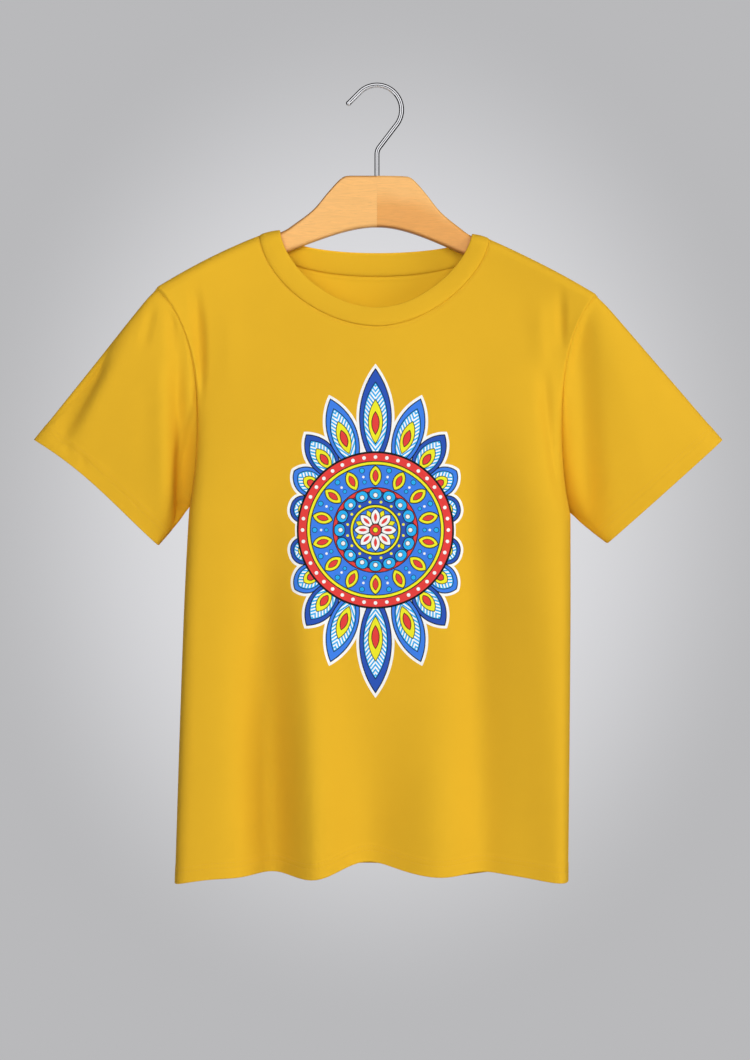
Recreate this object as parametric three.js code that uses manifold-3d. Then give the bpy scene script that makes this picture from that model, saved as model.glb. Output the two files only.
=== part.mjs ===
// A short-sleeved crew-neck T-shirt hanging on a wooden coat hanger with a steel hook.
//
// Millimetres, +Z up. The front of the shirt faces -Y, and the wearer's left is on +X. The origin is the
// point of the hook that rests on a rail, which is the inside of the curl at its top.
//
// The shirt is five pieces of knitted jersey: a front, a back, two sleeves and a doubled rib round the neck.
// The hanger is two arms glued at the middle, with a bore for the hook, which turns in it. Each cloth piece
// is a thin shell whose outer face follows one formula: an outline in the front view, and how far the cloth
// stands forward or back of the shirt's middle plane.

import * as THREE from "three";
import { mergeVertices } from "three/addons/utils/BufferGeometryUtils.js";
import Module from "manifold-3d";

const wasm = await Module();
wasm.setup();

const { lerp, smoothstep, clamp } = THREE.MathUtils;

// Driving sizes of the hook: a steel wire bent into a curl over a straight shank.
const HOOK = {
  wireRadius: 2.7,
  curlRadius: 27.5, // to the middle of the wire
  tipAngle: 138, // degrees round the curl, counted from +X
  tipRun: 14, // straight end of the wire past that
  leaveAngle: -39.5, // where the curl leaves for the shank
  kneeRadius: 9,
  headRadius: 5,
  headHeight: 2.5,
};

// Driving sizes of the hanger's wood.
const WOOD = {
  topZ: -95.4,
  archZ: -149.6, // underside at the middle
  archSlope: 0.46,
  archRound: 22,
  halfThick: 7, // at the middle
  endHalfThick: 10.5,
  endX: 215,
  noseLength: 14,
  edgeRound: 4,
  underCloth: 3.4, // the wood's top below the outer face of the shoulder
  boreClearance: 0.4,
  headClearance: 0.7,
  glueGap: 0.15, // each arm's face to the middle plane
};

// Driving sizes of the shirt, which is a small to medium adult size.
const CLOTH = 1.0;
const SEAM_GAP = 0.15;
const SHOULDER = {
  neckX: 124.5,
  neckZ: -159.2,
  slope: 0.4,
  droop: 0.00118,
  lean: 8.2, // how much lower the wearer's left shoulder hangs
  leanBy: 140,
  sweep: 24, // how far the shoulder ends come forward
  sweepFade: 160,
  over: 3.4, // how much wider than the wood the cloth is
  halfWidth: 233,
};
const RIB = {
  underLine: 4, // the free edge at the shoulder, below the shoulder line carried on
  halfThick: 1.1,
  leanFront: 4,
  leanBack: -7,
};
const ARMHOLE_DEPTH = 26;
const SLEEVE = {
  hemDepth: 17,
  belly: 9,
  hemForward: -12,
  hemForwardInner: -4,
};
const CREST_POWER = 11; // how flat a panel is before it turns in to its side seams
const TOP_WIDENING = 8; // how soon a panel's columns spread from the neckline to the panel's full width
const HEM_CORNER_Z = -843;
const HEM_DIP = 0.3; // how far the hem dips where a fold stands forward

// The two sides of the shirt in the front view, each with its distances from the middle.
const RIGHT_SIDE = {
  hand: -1,
  neckX: 124.3,
  ribX: 102.3,
  tipX: 232.6,
  armhole: [
    [178, -262],
    [184, -380],
    [198, -448.5],
  ],
  hemX: 212.8,
  flare: 0.8,
  sleeveOuter: [360.2, -375.2],
  sleeveInner: [230.3, -486],
  sleeveBow: 0.035, // how far the sleeve's hem bows in, as a share of its length
};
const LEFT_SIDE = {
  hand: 1,
  neckX: 119,
  ribX: 100.2,
  tipX: 231.6,
  armhole: [
    [186, -262],
    [188, -392],
    [203.8, -454.5],
  ],
  hemX: 200.8,
  flare: 1.5,
  sleeveOuter: [364, -375.2],
  sleeveInner: [243.3, -484],
  sleeveBow: 0,
};

// Soft folds that run down the cloth. Each is centred at topX where it starts and at hemX at the hem,
// and stands `height` proud of the cloth where it is full.
const FRONT_FOLDS = [
  { topX: -124, hemX: -110, width: 27, height: -18, startZ: -380, fullZ: -760 },
  { topX: -80, hemX: -62, width: 27, height: 13, startZ: -400, fullZ: -780 },
  { topX: -8, hemX: -10, width: 34, height: -12, startZ: -590, fullZ: -830 },
  { topX: 58, hemX: 64, width: 30, height: 9, startZ: -560, fullZ: -820 },
  { topX: 98, hemX: 110, width: 22, height: -6, startZ: -250, fullZ: -520 },
  { topX: 152, hemX: 208, width: 45, height: 11, startZ: -220, fullZ: -480 },
];
const BACK_FOLDS = [
  { topX: -70, hemX: -88, width: 30, height: -14, startZ: -330, fullZ: -720 },
  { topX: -20, hemX: -26, width: 28, height: 8, startZ: -420, fullZ: -780 },
  { topX: 36, hemX: 38, width: 26, height: -11, startZ: -480, fullZ: -800 },
  { topX: 96, hemX: 104, width: 30, height: 9, startZ: -420, fullZ: -760 },
];

const FRONT = {
  side: -1,
  depth: 50,
  fillBy: 260,
  neckZ: -256.5,
  ribZ: -236.5,
  roundness: 1.85,
  ribLean: RIB.leanFront,
  hemZ: -825,
  folds: FRONT_FOLDS,
};
const BACK = {
  side: 1,
  depth: 44,
  fillBy: 240,
  neckZ: -200.5,
  ribZ: -176,
  roundness: 2.1,
  ribLean: RIB.leanBack,
  hemZ: -834,
  folds: BACK_FOLDS,
};

// How finely each form is cut into faces.
const COLUMNS = 38;
const NECK_COLUMNS = 12; // on each side of the middle, of COLUMNS / 2
const ARMHOLE_ROWS = 10;
const FRONT_ROWS = 18;
const BACK_ROWS = 15;
const SLEEVE_STEPS = 7;
const RIB_SECTION_STEPS = 8;
const ARM_STATIONS = 18;
const ARM_SIDES = 16;
const WIRE_SIDES = 10;
const WIRE_STEPS = 34;
const BORE_SIDES = 24;

const JERSEY = new THREE.MeshStandardMaterial({ color: 0xe0ad27, roughness: 0.92, metalness: 0 });
const RIB_KNIT = new THREE.MeshStandardMaterial({ color: 0xddaa26, roughness: 0.95, metalness: 0 });
const LIGHT_WOOD = new THREE.MeshStandardMaterial({ color: 0xedb271, roughness: 0.42, metalness: 0 });
const STEEL = new THREE.MeshStandardMaterial({ color: 0xc9cacc, roughness: 0.16, metalness: 1 });

// Geometry helpers.

// A closed geometry with merged vertices and its faces pointing out.
function closed(geometry) {
  geometry.deleteAttribute("normal");
  geometry.deleteAttribute("uv");
  const merged = mergeVertices(geometry, 1e-3);
  const at = (i) => new THREE.Vector3().fromBufferAttribute(merged.attributes.position, i);
  const index = merged.index.array;
  let sixVolumes = 0;
  for (let i = 0; i < index.length; i += 3) {
    sixVolumes += at(index[i]).dot(at(index[i + 1]).cross(at(index[i + 2])));
  }
  if (sixVolumes < 0) {
    for (let i = 0; i < index.length; i += 3) {
      [index[i + 1], index[i + 2]] = [index[i + 2], index[i + 1]];
    }
  }
  merged.computeVertexNormals();
  return merged;
}

function toSolid(geometry) {
  const g = closed(geometry);
  const mesh = new wasm.Mesh({
    numProp: 3,
    vertProperties: g.attributes.position.array,
    triVerts: new Uint32Array(g.index.array),
  });
  return new wasm.Manifold(mesh);
}

function toGeometry(solid) {
  const { vertProperties, triVerts } = solid.getMesh();
  const geometry = new THREE.BufferGeometry();
  geometry.setAttribute("position", new THREE.BufferAttribute(vertProperties, 3));
  geometry.setIndex(new THREE.BufferAttribute(triVerts, 1));
  geometry.computeVertexNormals();
  return geometry;
}

// Moves every vertex of a geometry to the place that `place` gives for it.
function reshape(geometry, place) {
  const position = geometry.attributes.position;
  const v = new THREE.Vector3();
  for (let i = 0; i < position.count; i++) {
    const p = place(v.fromBufferAttribute(position, i));
    position.setXYZ(i, p.x, p.y, p.z);
  }
  return geometry;
}

// The outward normal of a surface at (a, b), turned to the side that `towards` points to.
function normalAt(surface, a, b, towards) {
  const step = 1e-3;
  const along = (a1, b1, a2, b2) => surface(a2, b2).sub(surface(a1, b1));
  const n = along(a - step, b, a + step, b).cross(along(a, b - step, a, b + step)).normalize();
  return n.dot(towards) < 0 ? n.negate() : n;
}

// Positions round a ring and round its section, from a torus vertex.
function ringPlace(p, sectionSteps) {
  const round = Math.atan2(p.y, p.x);
  const section = Math.atan2(p.z, Math.hypot(p.x, p.y) - 2) / (2 * Math.PI);
  return {
    round: round < -1e-6 ? round + 2 * Math.PI : Math.max(round, 0),
    step: Math.round((section < -1e-6 ? section + 1 : section) * sectionSteps) % sectionSteps,
  };
}

const sign = Math.sign;
const power = (x, k) => sign(x) * Math.abs(x) ** k;

// The shirt's form.

const sideAt = (x) => (x > 0 ? LEFT_SIDE : RIGHT_SIDE);

// How much lower the wearer's left shoulder hangs at x.
const lean = (x) => SHOULDER.lean * smoothstep(x, 0, SHOULDER.leanBy);

// Height of the shoulder line at x. It goes on rising over the neck, where nothing follows it.
function shoulderLine(x) {
  const out = Math.abs(x) - SHOULDER.neckX;
  return SHOULDER.neckZ - SHOULDER.slope * out - SHOULDER.droop * Math.max(out, 0) ** 2 - lean(x);
}

// Half the wood's thickness at x, which is also what rounds the shoulder over it.
function armHalfThick(x) {
  return lerp(WOOD.halfThick, WOOD.endHalfThick, smoothstep(Math.abs(x), 60, WOOD.endX));
}

// The shirt's middle plane, from which front and back are measured.
function middleY(x, z) {
  const below = Math.max(shoulderLine(x) - z, 0);
  const out = Math.min(Math.abs(x) / SHOULDER.halfWidth, 1);
  return -SHOULDER.sweep * out ** 2 * Math.exp(-below / SHOULDER.sweepFade);
}

function foldHeight(folds, x, z) {
  let height = 0;
  for (const f of folds) {
    const grown = smoothstep(-z, -f.startZ, -f.fullZ);
    const down = clamp((f.startZ - z) / (f.startZ - HEM_CORNER_Z), 0, 1);
    const away = (x - lerp(f.topX, f.hemX, down)) / f.width;
    height += f.height * grown * Math.exp(-away * away);
  }
  return height;
}

// How much lower the cloth begins to fill at x between the shoulders, so that the chest has no ridge.
function chestRound(x) {
  const inside = Math.max(SHOULDER.neckX - Math.abs(x), 0);
  return (SHOULDER.slope * inside ** 2) / (2 * SHOULDER.neckX);
}

// How far the cloth of a panel stands from the middle plane, away from its side seams.
function fullness(panel, x, z) {
  const below = Math.max(shoulderLine(x) - chestRound(x) - z, 0);
  const edge = armHalfThick(x) + SHOULDER.over;
  const rounded = Math.sqrt(1 - (1 - Math.min(below / edge, 1)) ** 2);
  const filled = smoothstep(below, 0, panel.fillBy);
  return edge * rounded + (panel.depth - edge) * filled + foldHeight(panel.folds, x, z);
}

// How much of its fullness a panel has, at a share `out` of the way to its side edge.
const swellAt = (out) => Math.sqrt(Math.max(1 - Math.abs(out) ** CREST_POWER, 0));

// The armhole seam at `turn`, from 0 at the shoulder tip to pi at the armpit. h is its depth.
function armhole(side, turn) {
  const tip = [side.tipX, shoulderLine(side.hand * side.tipX)];
  const points = [tip, ...side.armhole].map((p) => new THREE.Vector2(...p));
  const p = new THREE.CubicBezierCurve(...points).getPoint((1 - Math.cos(turn)) / 2);
  const bluntness = lerp(0.7, 1.4, turn / Math.PI);
  return { x: side.hand * p.x, z: p.y, h: ARMHOLE_DEPTH * Math.max(Math.sin(turn), 0) ** bluntness };
}

// Rows down the armhole, closer together over the shoulder. q runs from 0 to 1.
const armholeTurn = (q) => Math.PI * clamp(q, 0, 1) ** 1.25;

// Turns round the neck from one shoulder, closer together near both shoulders.
const neckTurn = (turn) => turn - 0.32 * Math.sin(2 * turn);

// A panel's edge at w, which runs down the armhole and then down the side seam.
function panelSide(side, w, share) {
  if (w <= share) return armhole(side, armholeTurn(w / share));
  const s = (w - share) / (1 - share);
  const [armpitX, armpitZ] = side.armhole[2];
  const x = side.hand * lerp(armpitX, side.hemX, s ** side.flare);
  return { x, z: lerp(armpitZ, HEM_CORNER_Z, s), h: 0 };
}

// The neckline of a panel at `turn`, from 0 at the wearer's right shoulder to pi at the left.
function neckline(panel, turn) {
  const side = sideAt(-Math.cos(turn));
  const across = Math.abs(Math.cos(turn)) ** (2 / panel.roundness);
  const down = Math.abs(Math.sin(turn)) ** (2 / panel.roundness);
  const shoulderZ = shoulderLine(side.hand * side.neckX);
  const freeZ = shoulderLine(side.hand * side.ribX) - RIB.underLine;
  return {
    x: side.hand * side.neckX * across,
    z: lerp(shoulderZ, panel.neckZ, down),
    freeX: side.hand * side.ribX * across,
    freeZ: lerp(freeZ, panel.ribZ, down),
  };
}

// A panel's top edge: the shoulder, the neckline and the other shoulder. u runs from -1 to 1.
function panelTop(panel, u) {
  const share = NECK_COLUMNS / (COLUMNS / 2);
  const a = Math.abs(u);
  if (a <= share) return neckline(panel, neckTurn((Math.PI / 2) * (1 + u / share)));
  const side = sideAt(u);
  const b = Math.sin(((Math.PI / 2) * (a - share)) / (1 - share));
  const x = lerp(side.neckX, side.tipX, b);
  return { x: side.hand * x, z: shoulderLine(side.hand * x) };
}

function panelHem(panel, across) {
  const x = lerp(-RIGHT_SIDE.hemX, LEFT_SIDE.hemX, (1 + across) / 2);
  const z = lerp(panel.hemZ, HEM_CORNER_Z, Math.abs(across) ** 3);
  const inside = 1 - across ** 8;
  return { x, z: z - HEM_DIP * inside * foldHeight(panel.folds, x, HEM_CORNER_Z) };
}

// A point of a panel's outer face. u runs from -1 to 1 across it and w from 0 to 1 down it. The outline is
// blended from its four edges, and the depth swells from the side edges to the middle.
function panelPoint(panel, rows, u, w) {
  const share = ARMHOLE_ROWS / rows;
  const down = w <= share ? (share * (1 - Math.cos(armholeTurn(w / share)))) / 2 : w;
  const across = lerp(u, Math.sin((u * Math.PI) / 2), 0.7);
  const side = sideAt(u);
  const edge = panelSide(side, w, share);
  const [top, hem] = [panelTop(panel, u), panelHem(panel, across)];
  const [endTop, endHem] = [panelTop(panel, side.hand), panelHem(panel, side.hand)];
  const blend = (key, way) => {
    const fit = edge[key] - lerp(endTop[key], endHem[key], way);
    return lerp(top[key], hem[key], way) + fit * across ** 2;
  };
  const x = blend("x", 1 - (1 - down) ** TOP_WIDENING);
  const z = blend("z", down);
  const h = Math.max(lerp(edge.h, fullness(panel, x, z), swellAt(x / edge.x)), 0) + SEAM_GAP;
  return new THREE.Vector3(x, middleY(x, z) + panel.side * h, z);
}

// A panel as a thin shell, from a box that is one cell thick.
function panelShell(panel, rows) {
  const surface = (u, w) => panelPoint(panel, rows, clamp(u, -1, 1), clamp(w, 0, 1));
  const box = new THREE.BoxGeometry(2, 1, 1, COLUMNS, rows, 1);
  return closed(reshape(box, (p) => {
    const [u, w] = [p.x, 0.5 - p.y];
    const place = surface(u, w);
    if (p.z > 0) return place;
    const outward = new THREE.Vector3(2 * u ** 5, panel.side, 0.4 - w);
    const n = normalAt(surface, clamp(u, -0.998, 0.998), clamp(w, 0.002, 0.998), outward);
    const inner = place.clone().addScaledVector(n, -CLOTH);
    const middle = middleY(inner.x, inner.z);
    const clear = Math.max((inner.y - middle) * panel.side, SEAM_GAP);
    return inner.setY(middle + panel.side * clear);
  }));
}

// A point of a sleeve's outer face. turn goes round it from 0 at the top fold, by the front, to pi at the
// underarm and back, and s from 0 at the armhole to 1 at the hem.
function sleevePoint(side, turn, s) {
  const half = turn <= Math.PI ? turn : 2 * Math.PI - turn;
  const t = (1 - Math.cos(half)) / 2;
  const round = Math.max(Math.sin(half), 0);
  const seam = armhole(side, half);
  const reach = s * (1 - side.sleeveBow * round ** 2);
  const x = lerp(seam.x, side.hand * lerp(side.sleeveOuter[0], side.sleeveInner[0], t), reach);
  const z = lerp(seam.z, lerp(side.sleeveOuter[1], side.sleeveInner[1], t), reach);
  const belly = SLEEVE.belly * Math.sin(Math.PI * s) * round;
  const h = lerp(seam.h, SLEEVE.hemDepth * round ** 0.8, smoothstep(s, 0, 1)) + belly + SEAM_GAP;
  const hemY = lerp(SLEEVE.hemForward, SLEEVE.hemForwardInner, t);
  const middle = lerp(middleY(seam.x, seam.z), hemY, s);
  return new THREE.Vector3(x, middle + (turn <= Math.PI ? -h : h), z);
}

// A sleeve as an open tube with a thin wall, from a torus.
function sleeveShell(side) {
  const sectionSteps = 2 * (SLEEVE_STEPS + 1);
  const start = 0.006;
  const ring = new THREE.TorusGeometry(2, 1, sectionSteps, 2 * ARMHOLE_ROWS);
  const wrap = (turn) => (turn + 2 * Math.PI) % (2 * Math.PI);
  const surface = (turn, s) => sleevePoint(side, wrap(turn), s);
  const centre = new THREE.Vector3(side.hand * 262, -8, -385);
  return closed(reshape(ring, (p) => {
    const { round, step } = ringPlace(p, sectionSteps);
    const front = round <= Math.PI;
    const turn = armholeTurn((front ? round : 2 * Math.PI - round) / Math.PI);
    const inner = step > SLEEVE_STEPS;
    const s = lerp(start, 1, (inner ? sectionSteps - 1 - step : step) / SLEEVE_STEPS);
    const around = front ? turn : 2 * Math.PI - turn;
    const place = surface(around, s);
    const towards = place.clone().sub(centre).multiply(new THREE.Vector3(0.2, 4, 1));
    const n = normalAt(surface, around, clamp(s, 0.01, 0.99), towards);
    return place.addScaledVector(n, inner ? -CLOTH : 0);
  }));
}

// The rib's two edges at `turn` round the neck. The front half is 0 to pi.
function ribEdges(turn) {
  const panel = turn <= Math.PI ? FRONT : BACK;
  const around = neckTurn(turn <= Math.PI ? turn : 2 * Math.PI - turn);
  const { x, z, freeX, freeZ } = neckline(panel, around);
  const swell = swellAt(x / SHOULDER.halfWidth);
  const y = middleY(x, z) + panel.side * (fullness(panel, x, z) * swell + SEAM_GAP);
  const leaning = panel.ribLean * Math.sin(around) ** 2;
  return { seam: new THREE.Vector3(x, y, z), free: new THREE.Vector3(freeX, y + leaning, freeZ) };
}

// The neck rib: a flat doubled band from the seam to its folded free edge.
function neckRib() {
  const ring = new THREE.TorusGeometry(2, 1, RIB_SECTION_STEPS, 4 * NECK_COLUMNS);
  const wrap = (turn) => (turn + 2 * Math.PI) % (2 * Math.PI);
  return closed(reshape(ring, (p) => {
    const { round, step } = ringPlace(p, RIB_SECTION_STEPS);
    const { seam, free } = ribEdges(round);
    const along = ribEdges(wrap(round + 0.02)).seam.sub(ribEdges(wrap(round - 0.02)).seam);
    const up = free.clone().sub(seam);
    const n = along.cross(up).normalize();
    const section = (2 * Math.PI * step) / RIB_SECTION_STEPS;
    const across = 0.53 + 0.47 * power(Math.cos(section), 0.6);
    const thick = RIB.halfThick * power(Math.sin(section), 0.5);
    return seam.clone().addScaledVector(up, across).addScaledVector(n, thick);
  }));
}

// The hanger.

// The wood's top in the front view, from the middle out to where the cloth covers it.
const TOP_LINE = [
  [0, WOOD.topZ],
  [28, WOOD.topZ],
  [38, -98.4],
  [51.4, -112.5],
  [67.3, -131.4],
  [87, -146.6],
  [101, -155.3],
  [SHOULDER.neckX, SHOULDER.neckZ - WOOD.underCloth],
];
const topLine = new THREE.SplineCurve(TOP_LINE.map((p) => new THREE.Vector2(...p))).getPoints(70);

// Height of the wood's top at x: flat over the middle, then down the shoulder under the cloth.
function woodTop(x) {
  if (x >= SHOULDER.neckX) return shoulderLine(-x) - WOOD.underCloth;
  const i = topLine.findIndex((p) => p.x > x);
  const [a, b] = [topLine[i - 1], topLine[i]];
  return Math.min(lerp(a.y, b.y, (x - a.x) / (b.x - a.x)), WOOD.topZ);
}

// Height of the wood's underside at x.
function woodUnderside(x) {
  return WOOD.archZ + WOOD.archRound - Math.hypot(WOOD.archSlope * x, WOOD.archRound);
}

// One arm: a rounded section carried from the middle plane to the rounded nose, with the edges more
// rounded under the cloth.
function arm(side) {
  const blank = new THREE.CylinderGeometry(1, 1, 1, ARM_SIDES, ARM_STATIONS);
  const shaped = reshape(blank, (p) => {
    const x = lerp(WOOD.glueGap, WOOD.endX, 0.5 - p.y);
    const reach = Math.max(x - (WOOD.endX - WOOD.noseLength), 0) / WOOD.noseLength;
    const nose = Math.sqrt(Math.max(1 - reach ** 2, 0.04));
    const [high, low] = [woodTop(x), woodUnderside(x)];
    const halfHigh = ((high - low) / 2) * nose;
    const halfThick = armHalfThick(x) * nose;
    const covered = smoothstep(x, 60, 110);
    const corner = Math.min(lerp(WOOD.edgeRound, 0.85 * halfThick, covered), 0.98 * halfThick);
    const angle = Math.atan2(p.z, p.x);
    const from = (half, part) => sign(Math.round(part * 1e6)) * (half - corner) + corner * part;
    const radius = Math.hypot(p.x, p.z);
    const y = radius * from(halfThick, Math.cos(angle));
    const z = radius * from(halfHigh, Math.sin(angle));
    const worldX = side.hand * x;
    const middle = middleY(worldX, shoulderLine(worldX));
    return new THREE.Vector3(worldX, middle + y, (high + low) / 2 - lean(worldX) + z);
  });
  const shankRadius = HOOK.wireRadius + WOOD.boreClearance;
  const bore = new THREE.CylinderGeometry(shankRadius, shankRadius, 80, BORE_SIDES);
  bore.rotateX(Math.PI / 2).translate(0, 0, WOOD.topZ - 30);
  const seat = HOOK.headRadius + WOOD.headClearance;
  const pocketHeight = 2 * (HOOK.headHeight + WOOD.headClearance);
  const pocket = new THREE.CylinderGeometry(seat, seat, pocketHeight, BORE_SIDES);
  pocket.rotateX(Math.PI / 2).translate(0, 0, WOOD.archZ);
  return toGeometry(toSolid(shaped).subtract(toSolid(bore)).subtract(toSolid(pocket)));
}

// The hook: the curl, a straight run to the knee and the shank, down through the wood to its head.
function hook() {
  const centreZ = -(HOOK.curlRadius - HOOK.wireRadius);
  const [tip, leave] = [HOOK.tipAngle, HOOK.leaveAngle].map(THREE.MathUtils.degToRad);
  const points = [
    new THREE.Vector3(
      HOOK.curlRadius * Math.cos(tip) - HOOK.tipRun * Math.sin(tip),
      0,
      centreZ + HOOK.curlRadius * Math.sin(tip) + HOOK.tipRun * Math.cos(tip),
    ),
  ];
  const curlSteps = 20;
  for (let i = 0; i <= curlSteps; i++) {
    const a = lerp(tip, leave, i / curlSteps);
    const [x, z] = [HOOK.curlRadius * Math.cos(a), centreZ + HOOK.curlRadius * Math.sin(a)];
    points.push(new THREE.Vector3(x, 0, z));
  }
  const last = points[points.length - 1];
  const heading = new THREE.Vector3(Math.sin(leave), 0, -Math.cos(leave));
  const run = last.x / -heading.x;
  const knee = last.clone().addScaledVector(heading, run);
  const turn = Math.PI / 2 - Math.abs(leave);
  const back = HOOK.kneeRadius * Math.tan(turn / 2);
  const bend = new THREE.QuadraticBezierCurve3(
    knee.clone().addScaledVector(heading, -back),
    knee,
    new THREE.Vector3(0, 0, knee.z - back),
  );
  points.push(last.clone().addScaledVector(heading, run * 0.5), ...bend.getPoints(4));
  const endZ = WOOD.archZ + WOOD.headClearance;
  const shankSteps = 4;
  for (let i = 1; i <= shankSteps; i++) {
    points.push(new THREE.Vector3(0, 0, lerp(knee.z - back, endZ, i / shankSteps)));
  }
  const section = new THREE.Shape();
  for (let i = 0; i < WIRE_SIDES; i++) {
    const a = (2 * Math.PI * i) / WIRE_SIDES;
    const at = [HOOK.wireRadius * Math.cos(a), HOOK.wireRadius * Math.sin(a)];
    if (i === 0) section.moveTo(...at);
    else section.lineTo(...at);
  }
  section.closePath();
  const wire = new THREE.ExtrudeGeometry(section, {
    steps: WIRE_STEPS,
    extrudePath: new THREE.CatmullRomCurve3(points),
  });
  const ball = new THREE.SphereGeometry(HOOK.wireRadius * 1.08, WIRE_SIDES, 8);
  ball.translate(points[0].x, 0, points[0].z);
  const head = new THREE.CylinderGeometry(HOOK.headRadius, HOOK.headRadius, HOOK.headHeight, BORE_SIDES);
  head.rotateX(Math.PI / 2).translate(0, 0, endZ + HOOK.headHeight / 2);
  return toGeometry(toSolid(wire).add(toSolid(ball)).add(toSolid(head)));
}

function piece(name, geometry, material) {
  const mesh = new THREE.Mesh(geometry, material);
  mesh.name = name;
  return mesh;
}

const shirt = new THREE.Group();
shirt.add(
  piece("front_panel", panelShell(FRONT, FRONT_ROWS), JERSEY),
  piece("back_panel", panelShell(BACK, BACK_ROWS), JERSEY),
  piece("left_sleeve", sleeveShell(LEFT_SIDE), JERSEY),
  piece("right_sleeve", sleeveShell(RIGHT_SIDE), JERSEY),
  piece("neck_rib", neckRib(), RIB_KNIT),
);

const hanger = new THREE.Group();
hanger.add(
  piece("hanger_left_arm", arm(LEFT_SIDE), LIGHT_WOOD),
  piece("hanger_right_arm", arm(RIGHT_SIDE), LIGHT_WOOD),
);

const root = new THREE.Group();
root.add(piece("hook", hook(), STEEL), hanger, shirt);

export default root;
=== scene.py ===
"""A mustard crew-neck T-shirt on a beech coat hanger with a chromed hook, dressed for a studio picture.

The cloth is worked out in millimetres from the same driving sizes as the solids, on finer grids. Each piece
is a sheet of jersey with its seams drawn in, its hem turned up and its stitches sewn.
"""

import logging
import math
from dataclasses import dataclass
from enum import Enum
from typing import Iterable

import bmesh
import bpy
import numpy as np
from mathutils import Matrix, Vector


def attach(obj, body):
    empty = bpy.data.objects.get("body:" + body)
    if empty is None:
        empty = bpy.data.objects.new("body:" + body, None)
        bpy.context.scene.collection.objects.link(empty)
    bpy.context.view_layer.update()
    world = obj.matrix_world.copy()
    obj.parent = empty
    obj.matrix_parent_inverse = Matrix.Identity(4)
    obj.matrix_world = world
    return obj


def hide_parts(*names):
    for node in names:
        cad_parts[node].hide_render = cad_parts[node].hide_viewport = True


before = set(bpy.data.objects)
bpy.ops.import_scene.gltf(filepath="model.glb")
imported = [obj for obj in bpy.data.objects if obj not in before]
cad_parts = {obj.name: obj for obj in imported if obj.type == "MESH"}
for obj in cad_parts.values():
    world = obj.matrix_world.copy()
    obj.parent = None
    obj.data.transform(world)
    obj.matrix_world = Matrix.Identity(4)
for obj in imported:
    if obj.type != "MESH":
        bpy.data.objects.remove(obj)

log = logging.getLogger("shirt")

Array = np.ndarray
Values = Array | float
Piece = bpy.types.Object
Mesh = bmesh.types.BMesh
Material = bpy.types.Material
Tree = bpy.types.NodeTree
Socket = bpy.types.NodeSocket

MM = 0.001
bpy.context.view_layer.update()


# Small sums that everything here uses.


def lerp(a: Values, b: Values, share: Values) -> Values:
    """Returns the value a share of the way from a to b."""
    return a + (b - a) * share


def smoothstep(x: Values, low: float, high: float) -> Values:
    """Returns 0 below low, 1 above high, and a smooth rise between them."""
    t = np.clip((x - low) / (high - low), 0.0, 1.0)
    return t * t * (3.0 - 2.0 * t)


def bump(x: Array, width: float) -> Array:
    """Returns a smooth bump that is 1 at x = 0 and gone at about twice the width."""
    return np.exp(-((x / width) ** 2))


def unit(v: Array) -> Array:
    """Returns vectors of length 1 along the last axis."""
    return v / np.maximum(np.linalg.norm(v, axis=-1, keepdims=True), 1e-9)


def spatial(x: Array, y: Array, z: Array) -> Array:
    """Returns points whose last axis is x, y and z, which may be of different shapes."""
    return np.stack(np.broadcast_arrays(x, y, z), axis=-1).astype(float)


# The cut and the hang of the shirt.


@dataclass(frozen=True)
class Side:
    """One side of the shirt in the front view, in millimetres from the middle.

    Args:
        hand: -1 for the wearer's right and 1 for the left.
        neck_x: where the neckline meets the shoulder.
        rib_x: the rib's free edge at the shoulder.
        armhole: three points (x, z) that draw the armhole down from the tip.
        flare: how late the side seam moves out to the hem.
        sleeve_inner: the sleeve hem's corner under the arm.
        sleeve_bow: how far the sleeve's hem bows in, as a share of its length.
        sleeve_forward: how far the sleeve's hem swings forward, at its outer and its inner corner.
        neck_pinch: how far the upper part of the front neckline is drawn towards the middle.
    """

    hand: int
    neck_x: float
    rib_x: float
    tip_x: float
    armhole: tuple[tuple[float, float], ...]
    hem_x: float
    flare: float
    sleeve_outer: tuple[float, float]
    sleeve_inner: tuple[float, float]
    sleeve_bow: float
    sleeve_forward: tuple[float, float]
    neck_pinch: float
    hem_z: float


@dataclass(frozen=True)
class Fold:
    """A soft fold that runs down the cloth to the hem and grows on its way, in millimetres."""

    top_x: float
    hem_x: float
    width: float
    height: float
    start_z: float
    full_z: float


@dataclass(frozen=True)
class Crease:
    """A soft crease between two places, in millimetres. A negative height is a valley.

    Args:
        start: its first end, as (x, z) in the front view.
        end: its other end.
        height: how far it stands out in its middle.
        width: half its width, on the side that `start` to `end` has on its left.
        width_right: half its width on the other side.
        bow: how far its middle bows to the left.
        fade: the share of its length over which each end fades.
    """

    start: tuple[float, float]
    end: tuple[float, float]
    height: float
    width: float
    width_right: float
    bow: float = 0.0
    fade: float = 0.35

    def relief(self, x: Array, z: Array) -> Array:
        """Returns how far the crease lifts the cloth at each (x, z).

        Args:
            x: places across.
            z: their heights.

        Returns:
            The lift at each place.
        """
        dx, dz = self.end[0] - self.start[0], self.end[1] - self.start[1]
        length = math.hypot(dx, dz)
        along = ((x - self.start[0]) * dx + (z - self.start[1]) * dz) / length**2
        left = ((z - self.start[1]) * dx - (x - self.start[0]) * dz) / length
        away = left - self.bow * 4.0 * along * (1.0 - along)
        across = np.where(away > 0.0, bump(away, self.width), bump(away, self.width_right))
        ends = smoothstep(along, 0.0, self.fade) * smoothstep(1.0 - along, 0.0, self.fade)
        return self.height * across * ends


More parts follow.
